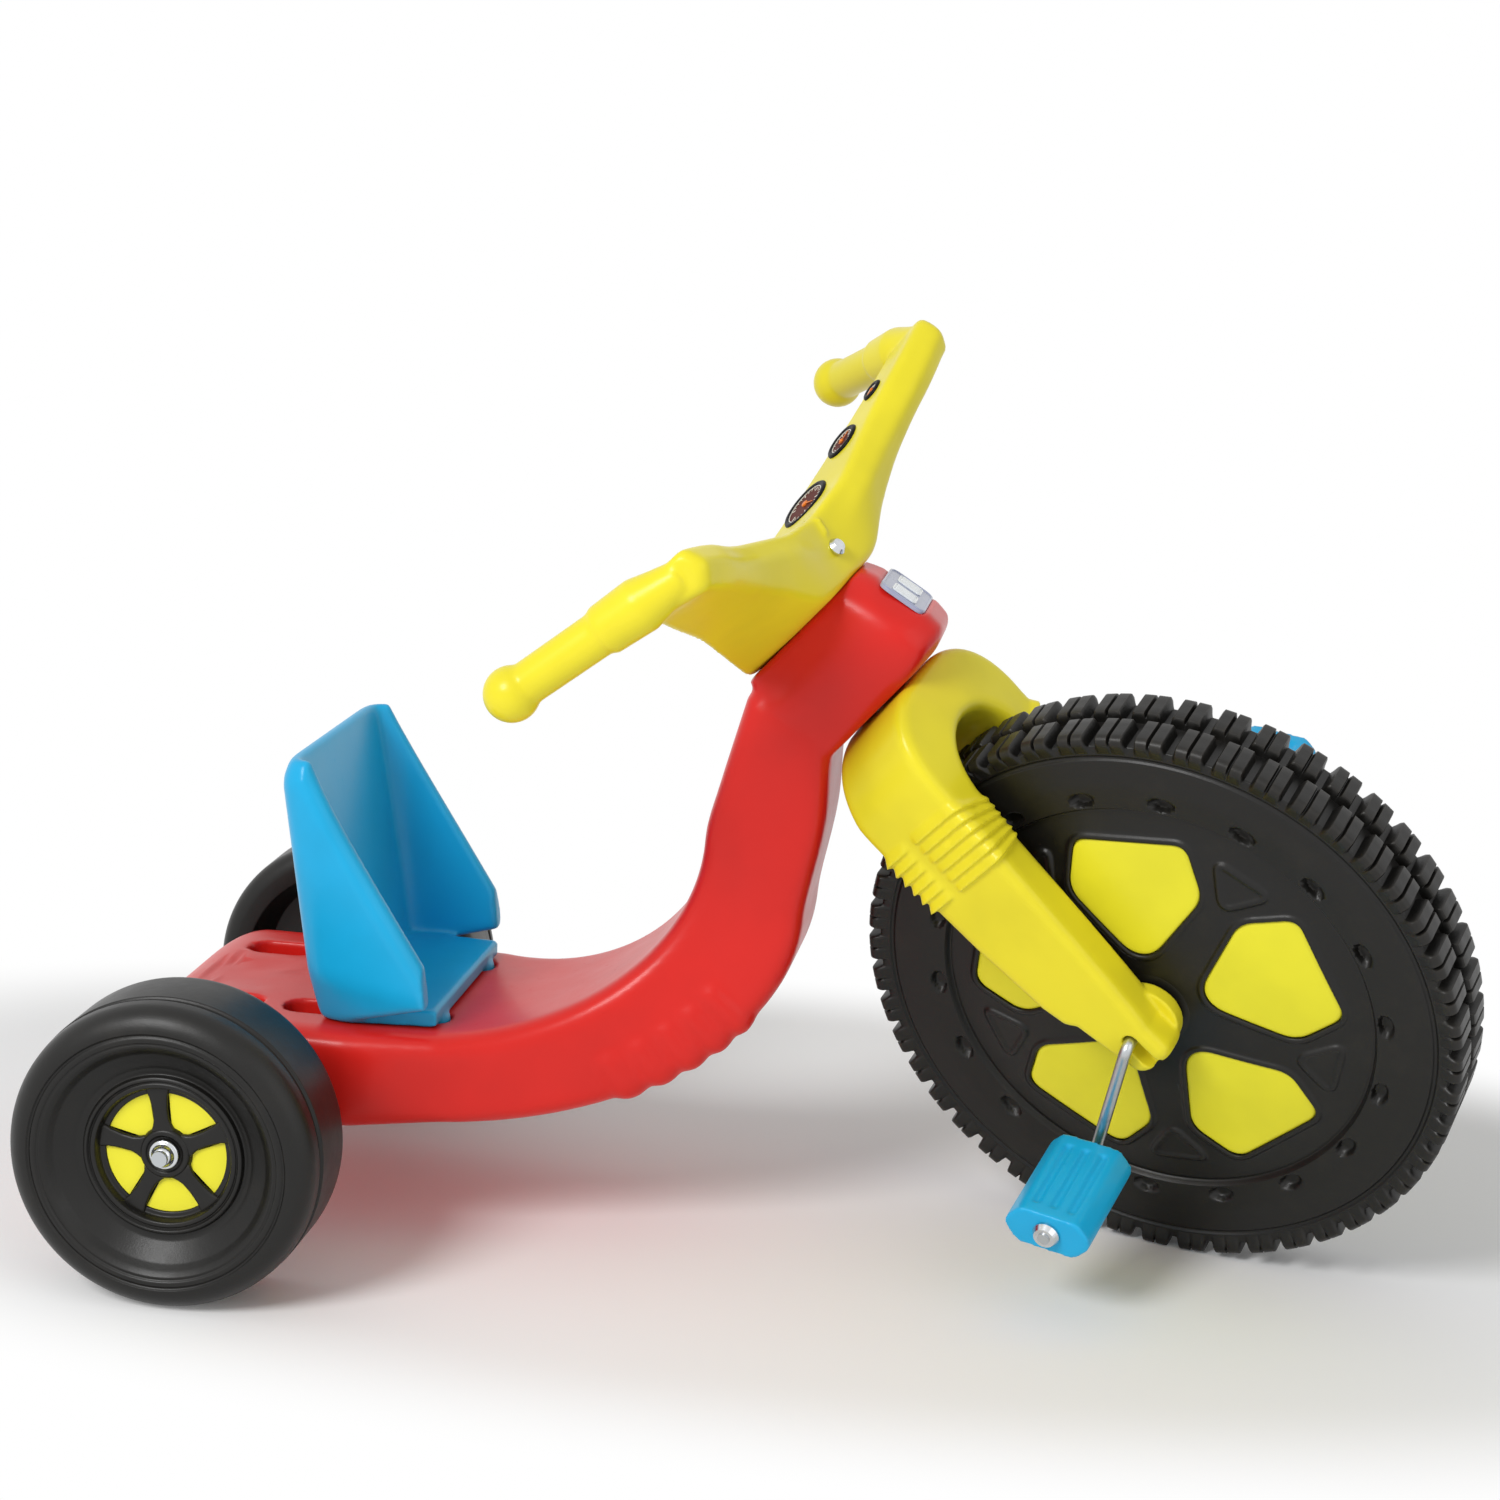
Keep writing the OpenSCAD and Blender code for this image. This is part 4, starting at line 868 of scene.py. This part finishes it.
def makeDials(side, word):
    f, shells = dialForm, {name: [] for name in dialLooks}
    for at, across, ticks, swing in zip(f["at"], f["across"], f["ticks"], f["needle"]):
        place, r = dialPlace(side * at), across / 2

        def put(name, shell, turn=0.0):
            shells[name].append(placed(shell, place @ turned("Z", degrees(turn))))

        put("dialRims", lathe(softLine([(r + out, z) for out, z in f["rim"]], 0.6), 64))
        put("dialFaces", lathe([(0.01, 0.55), (r * 0.4, 0.5), (r - f["faceEdge"], 0.45)], 64))
        for k in range(ticks):
            a = 2 * pi * k / ticks
            if f["tickGap"][0] < a < f["tickGap"][1]:
                continue
            long, wide = f["shortTick"] if k % 4 else f["longTick"]
            outer = r - f["tickEdge"]
            inner = outer * (1 - long)
            tick = [(inner, -wide), (outer, -wide), (outer, wide), (inner, wide)]
            put("dialMarks", plate([tick], 0.5, 0.8, 0.08), a)
        put("dialMarks", lathe([(r + out, z) for out, z in f["ring"]], 64))  # pale ring inside the rim
        tail, tip = -r * 0.18, r * 0.6
        hand = [(tail, -0.7), (tip, -0.22), (tip, 0.22), (tail, 0.7)]
        put("dialNeedles", plate([hand], 0.9, 1.4, 0.1), swing)
        knob = [(r * 0.13, 0.5), (r * 0.13, 1.5), (r * 0.07, 2.0), (0.01, 2.1)]
        put("dialNeedles", lathe(softLine(knob, 0.3), 32))
    for name, finish in dialLooks.items():
        addPiece(f"{name}_{word}", meshOf(shells[name], steerPlace), "steering", "dial",
                 f"gauge_dials_{word}" if name == "dialRims" else None, finish)


makeHandlebar()
makeDials(1, "left")
makeDials(-1, "right")
print("handlebar and dials made")

lampLooks = {
    "lens": mouldedPlastic("lampLens", "#e9eef2", 0.12, 0.6),
    "plate": mouldedPlastic("lampPlate", "#a3a9c4", 0.25, 0.3),
}


def makeLamp():
    f, place = lampForm, lampPlace()
    outline = lampOutline()
    panel = [plate([outline], -f["sunk"], 0.3, 0.3), tubeAlong(outline * 0.95, 0.9, 0.2, 0.8)]
    addPiece("lampPlate", meshOf(panel, place), "frame", "headlight", "headlight_panel", lampLooks["plate"])
    lens = []
    for y in (-f["lensSide"], f["lensSide"]):
        ring = flatRing(box(*(np.array(f["lens"]) * 0.5)), f["lensRound"]) + [0, y]
        lens += [plate([ring], 0.0, 0.9, 0.4), tubeAlong(ring, 0.7, 0.8, 0.8)]
        for k in range(-3, 4):  # upright flutes of the lens
            bar = flatRing(box(f["lens"][0] * f["flute"][0], f["flute"][1]), 0.7)
            lens.append(plate([bar + [0, y + k * f["fluteStep"]]], 0.7, 1.4, 0.34))
    addPiece("lampLenses", meshOf(lens, place), "frame", "headlight", None, lampLooks["lens"])


makeLamp()
print("lamp made")

frontForm = {
    "disc": 146.0, "discFace": 20.7, "discBack": 12.5, "crown": 9.6, "crownSide": 138.0, "crownCurve": 2.4,
    "windows": 5, "windowOut": (129.0, 17.1), "windowMid": (97.0, 28.2), "windowIn": (41.4, 7.9),
    "windowRound": 10.5, "windowGap": 1.6, "bead": 2.1,
    # the panel's section: share of the way to its middle, height
    "panelEdge": [(1.0, 14.0), (0.0, 14.0), (0.0, 18.4), (0.008, 19.6), (0.02, 20.3), (0.04, 20.7),
                  (0.08, 20.9)], "panelFace": 21.0,
    "pad": [(127.0, -9.4), (127.0, 9.4), (98.0, 0.0)], "padRound": 9.0, "padBead": 2.4,
    "hubHole": 20.0,
    "hub": [(4.1, 10), (4.1, 31), (21.5, 31), (23.6, 30.6), (26, 30.2), (29, 29.6), (29, 14)],
    "dimples": 18, "dimpleAt": 154.8, "dimple": (8.4, 5.4), "dimpleDepth": 5.2, "dimpleEdge": (0.72, 1.04),
    "groove": 186.0, "grooveHalf": 2.0, "grooveDepth": 1.6,
    "wallFace": 26.5, "wallStep": 24.5, "wallAt": (145.0, 146.0, 148.2, 165.2, 189.0),
    "lugs": 48, "lugEdge": (2.4, 3.15), "lugSplit": (0.1, 0.3), "splitDepth": 0.42,
    "lugSteps": [-3.75, -3.4, -3.1, -2.85, -2.6, -2.35, -1.9, -1.0, -0.36, -0.2, -0.06, 0.06, 0.2, 0.36, 1.0,
                 1.9, 2.35, 2.6, 2.85, 3.1, 3.4],
    # radius and height of the lug's section and of the tread under it
    "lug": [(189, 26.5), (192, 27.9), (195, 29.3), (197.6, 30.3), (199.6, 30.2), (201.4, 29.1),
            (202.6, 27.4), (203, 25.4), (203, 20), (203, 12), (203, 6), (202.5, 4.4), (201.2, 3.6),
            (197, 3.5), (195.2, 3.2), (195, 2.0), (195, 0)],
    "tread": [(189, 26.5), (191, 26.5), (193, 26.5), (194.2, 26.4), (194.7, 26.0), (194.9, 25.5), (195, 25),
              (195, 24.4), (195, 20), (195, 12), (195, 6), (195, 4.4), (195, 3.8), (195, 3.5), (195, 3.2),
              (195, 2.0), (195, 0)],
    "skin": {"voxel": 1.0, "rounds": 2, "keep": 0.5},
}


def windowOutline(grow):
    f = frontForm
    out, mid, inner = f["windowOut"], f["windowMid"], np.array(f["windowIn"])
    corners = [polar(out[0], -out[1]), polar(*out), polar(*mid), inner, inner * (1, -1),
               polar(mid[0], -mid[1])]
    return flatRing(drawnIn(corners, -grow), f["windowRound"], 8, 4)


def discRise(points):  # the disc crowns outward towards the hub
    r = np.hypot(points[:, 0], points[:, 1])
    return frontForm["crown"] * np.maximum(0, 1 - (r / frontForm["crownSide"]) ** frontForm["crownCurve"])


def windowPanel(turn):  # a sheet that follows the crown from its rounded edge
    edge = windowOutline(0.2) @ turn.T
    middle = edge.mean(axis=0)
    face = [(share, frontForm["panelFace"]) for share in np.linspace(0.14, 1.0, 12)]
    points, faces = grid([np.column_stack([edge + (middle - edge) * share, np.full(len(edge), z)])
                          for share, z in frontForm["panelEdge"] + face])
    points[:, 2] += discRise(points)
    return points, faces


def treadHalf():
    f = frontForm
    steps = np.array(f["lugSteps"])
    split = f["splitDepth"] * (1 - easeBetween(*f["lugSplit"], abs(steps)))
    height = (1 - easeBetween(*f["lugEdge"], abs(steps))) * (1 - split)
    angles = np.radians((np.arange(f["lugs"])[:, None] * 360 / f["lugs"] + steps).ravel())
    rise = np.tile(height, f["lugs"])
    rows = []
    for (r1, z1), (r0, z0) in zip(f["lug"], f["tread"]):
        r = r0 + (r1 - r0) * rise
        rows.append(around(r, angles, z0 + (z1 - z0) * rise))
    return grid(rows)


def sideWall():
    f = frontForm
    angles = fullTurn(f["dimples"] * 24)
    radii = np.concatenate([[145.0, 145.8, 146.2, 146.8, 147.6, 148.4], np.arange(149, 164.1, 0.9),
                            np.arange(166, 183, 3.0), np.arange(183.4, 188.7, 0.4), [189.0]])
    z = np.interp(radii, f["wallAt"], [f["discFace"]] * 2 + [f["wallStep"]] + [f["wallFace"]] * 2)
    z -= f["grooveDepth"] * np.clip(1 - (abs(radii - f["groove"]) / f["grooveHalf"]) ** 2, 0, 1)
    pitch = 2 * pi / f["dimples"]
    off = (angles + 1e-9) % pitch - pitch / 2
    rows = []
    for r, height in zip(radii, z):
        q = np.hypot(off * r / f["dimple"][0], (r - f["dimpleAt"]) / f["dimple"][1])
        rows.append(around(r, angles, height - f["dimpleDepth"] * (1 - easeBetween(*f["dimpleEdge"], q))))
    return grid(rows)


def makeFrontWheel():
    f, face = frontForm, frontForm["discFace"]
    windows, extras, panels = [], [], []
    for i in range(f["windows"]):
        turn, half = (np.array(turned("Z", (i + k) * 360 / f["windows"]))[:2, :2] for k in (0, 0.5))
        windows.append(windowOutline(f["windowGap"]) @ turn.T)
        panels.append(windowPanel(turn))
        extras.append(tubeAlong(windowOutline(f["bead"] * 0.9) @ turn.T, f["bead"], face + 0.1, 0.9))
        pad = flatRing([polar(*corner) for corner in f["pad"]], f["padRound"], 6, 4) @ half.T
        extras += [plate([pad], face - 1, face + 0.8, 0.3), tubeAlong(pad, f["padBead"], face + 0.2, 0.9)]
    flat = plate([circle(f["disc"], 160), circle(f["hubHole"], 48), *windows], f["discBack"], face, 0.6)
    disc = softMoulding(meshOf([flat, *extras]), f["skin"])
    crowned = pointsOf(disc)
    crowned[:, 2] += discRise(crowned)
    wall = joined([sideWall(), lathe([(f["disc"], face - 0.1), (f["disc"], 0)], 96),
                   lathe(softLine(f["hub"], 0.8), 96)])
    tread = treadHalf()
    parts = [wall, placed(wall, flipZ), tread, placed(tread, flipZ @ turned("Z", 180 / f["lugs"]))]
    for way, word in ((Matrix(), "right"), (flipZ, "left")):
        addPiece(f"windowPanels_{word}", meshOf([placed(panel, way) for panel in panels], wheelPlace),
                 "front_wheel", "yellow_panel", f"window_panels_{word}")
        side = disc.copy()
        setPoints(side, moved(crowned, wheelPlace @ way))
        if word == "left":
            side.flip_normals()
        addPiece(f"wheelDisc_{word}", side, "front_wheel", "black_plastic")
    bpy.data.meshes.remove(disc)
    addPiece("frontWheelMoulding", meshOf(parts, wheelPlace, 40.0), "front_wheel", "black_plastic",
             "front_wheel")


makeFrontWheel()
print("front wheel made")

rearForm = {
    "inner": 163.0, "outer": 240.0, "face": 222.0, "floor": 216.0, "ringFace": 226.5, "ring": 49.0,
    "lip": 82.0, "hub": 17.0, "bore": 5.05, "rim": 220.0, "innerRound": 12.0, "outerRound": 17.0,
    "spokes": 5, "spoke": 9.0,
}


def rearProfile():  # from the inner face over the tread to the hub
    f, r = rearForm, stance["rearRadius"]
    i, o, a, b = f["inner"], f["outer"], f["innerRound"], f["outerRound"]
    lip, ring, hub, bore = (f[k] for k in ("lip", "ring", "hub", "bore"))
    top, rim, face = (f[k] for k in ("ringFace", "rim", "face"))
    profile = [(bore, i), (hub, i), (hub, i + 28), (lip - 14, i + 28), (lip - 4, i + 1)]
    profile += [(r - a + a * cos(t), i + a + a * sin(t)) for t in np.radians(np.arange(-90, 1, 10))]
    profile += [(r, o - 26), (r - 2.0, o - 25.2), (r - 2.0, o - 21), (r - 0.4, o - 20)]
    profile += [(r - b - 1 + (b + 0.2) * cos(t), o - b + b * sin(t))
                for t in np.radians(np.arange(12, 91, 8))]
    return profile + [
        (lip + 2, o - 0.3), (lip + 0.6, o - 1.8), (lip - 0.8, o - 0.5), (lip - 3.4, o - 0.2),
        (lip - 4.8, o - 1.9), (lip - 6.2, o - 1.2), (lip - 9.5, o - 4), (lip - 13, o - 8),
        (ring + 8, top - 2.6), (ring + 4.6, top - 3.4), (ring + 3.4, top - 3.2), (ring + 2.8, top),
        (ring + 0.6, top + 0.9), (ring - 0.8, top - 1.6),
        (ring - 2.0, top - 0.2), (ring - 4.4, top - 0.4), (ring - 5.6, top - 3.4), (ring - 6.2, rim + 0.6),
        (ring - 7.2, rim), (ring - 9.0, rim), (ring - 9.8, rim - 0.8), (ring - 10.0, f["floor"]),
        (hub + 1, f["floor"]), (hub - 0.6, face - 1), (hub - 2.2, face + 0.8), (hub - 4.6, face + 0.8),
        (hub - 5.6, face - 0.6), (bore, face - 0.6), (bore, i)]


def makeRearWheel(side, word):
    f, hub, ring = rearForm, rearForm["hub"], rearForm["ring"]
    shells = [lathe(softLine(rearProfile(), 0.9), 160)]
    edge = [(x, f["spoke"] * w) for x, w in (  # the spoke flares at both ends
        (hub - 3, 0.9), (hub + 1, 0.68), (hub + 5, 0.56), (hub + 12, 0.56), (ring - 12, 0.68),
        (ring - 8, 0.84), (ring - 5, 0.9))]
    spoke = plate([[(x, -y) for x, y in edge] + edge[::-1]], f["floor"] - 1, f["face"] - 0.2, 2.0)
    for k in range(f["spokes"]):
        shells.append(placed(spoke, turned("Z", stance["rearTurn"] + k * 360 / f["spokes"])))
    low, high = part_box(f"axle_nut_{word}")
    across = (high[0] - low[0]) / 2 / mm - 1.2
    foot, tip = (y / mm for y in sorted((abs(low[1]), abs(high[1]))))
    cap = [(5.0, foot), (across, foot), (across, foot + 1.4), (across - 0.8, foot + 2.2),
           (across - 2.4, foot + 2.6), (across - 3.0, tip - 2.6), (across - 4.2, tip - 0.9), (4.4, tip),
           (3.6, tip - 0.3), (3.3, tip - 2.0), (0.01, tip - 2.3)]
    addPiece(f"axleCap_{word}", meshOf([lathe(softLine(cap, 0.7), 64)], axlePlace(side)), "frame",
             "bright_steel", f"axle_nut_{word}")
    addPiece(f"rearWheelMoulding_{word}", meshOf(shells, axlePlace(side), 40.0), f"rear_wheel_{word}",
             "black_plastic", f"rear_wheel_{word}")


makeRearWheel(1, "left")
makeRearWheel(-1, "right")
print("rear wheels made")

pedalForm = {"skin": {"voxel": 1.3, "rounds": 5, "keep": 0.7}}
for word in ("left", "right"):
    block = softMoulding(nodes[f"pedal_{word}"].data.copy(), pedalForm["skin"])
    addPiece(f"pedalBlock_{word}", block, f"pedal_{word}", "blue_plastic", f"pedal_{word}")
print("pedals made")

stage = {
    "floor": "#fbfbfa", "size": 12.0, "centre": (0.35, 0.1, 0.0), "spread": (0.55, 1.15, 1.0),
    "fade": (0.38, 0.54), "skyStrength": 0.48, "aim": (0.35, 0.0, 0.25),
}
lights = {
    "keyLight": {"power": 60.0, "size": 1.2, "place": (-1.0, -2.4, 2.2)},
    "fillLight": {"power": 6.0, "size": 2.0, "place": (2.2, -1.4, 1.2)},
}


def seenRays(wire):  # camera, glossy and transmission rays
    camera, glossy, through = (wire.add("ShaderNodeLightPath", out=name)
                               for name in ("Is Camera Ray", "Is Glossy Ray", "Is Transmission Ray"))
    return (camera + glossy + through).limited()


def paleFloor():
    half = stage["size"] / 2
    mesh = bpy.data.meshes.new("floor")
    mesh.from_pydata([(x, y, 0) for x, y in box(half, half)], [], [(0, 1, 2, 3)])
    colours = linear(stage["floor"]), linear("#ffffff")
    pale = shader("floorPale", lambda w: w.noise(3.0, 3.0).mixed(*colours), 0.9,
                  constants={"Specular IOR Level": 0.1})
    tree = pale.node_tree
    wire = Wire(tree)
    # seen directly or mirrored, the floor goes over to the white backdrop away from the object
    offset = wire.add("ShaderNodeVectorMath", {"operation": "SUBTRACT"},
                      {0: wire.add("ShaderNodeNewGeometry"), 1: stage["centre"]})
    scaled = wire.add("ShaderNodeVectorMath", {"operation": "MULTIPLY"}, {0: offset, 1: stage["spread"]})
    away = wire.add("ShaderNodeVectorMath", {"operation": "LENGTH"}, {0: scaled}, 1).step(*stage["fade"])
    glow = wire.add("ShaderNodeEmission", {}, {"Color": (1, 1, 1, 1), "Strength": 1.0})
    plain = Wire(tree, tree.nodes["Principled BSDF"].outputs[0])
    both = wire.add("ShaderNodeMixShader", {}, {0: away * seenRays(wire), 1: plain, 2: glow})
    tree.links.new(both.socket, tree.nodes["Material Output"].inputs["Surface"])
    mesh.materials.append(pale)
    floor = newObject("floor", mesh)


def softLight(name, power, size, place):
    lamp = bpy.data.lights.new(name, "AREA")
    lamp.energy, lamp.shape, lamp.size = power, "DISK", size
    thing = newObject(name, lamp)
    thing.location = place
    thing.rotation_euler = (Vector(stage["aim"]) - Vector(place)).to_track_quat("-Z", "Y").to_euler()


def skyWorld():  # white where it is seen, dimmer where it lights
    world = bpy.data.worlds.new("sky")
    world.use_nodes = True
    bpy.context.scene.world = world
    tree = world.node_tree
    background = tree.nodes["Background"]
    background.inputs["Color"].default_value = (1, 1, 1, 1)
    strength = seenRays(Wire(tree)) * (1.0 - stage["skyStrength"]) + stage["skyStrength"]
    tree.links.new(strength.socket, background.inputs["Strength"])


paleFloor()
skyWorld()
for name, light in lights.items():
    softLight(name, **light)
bpy.context.scene.view_settings.view_transform = "Standard"
print("light and floor placed")
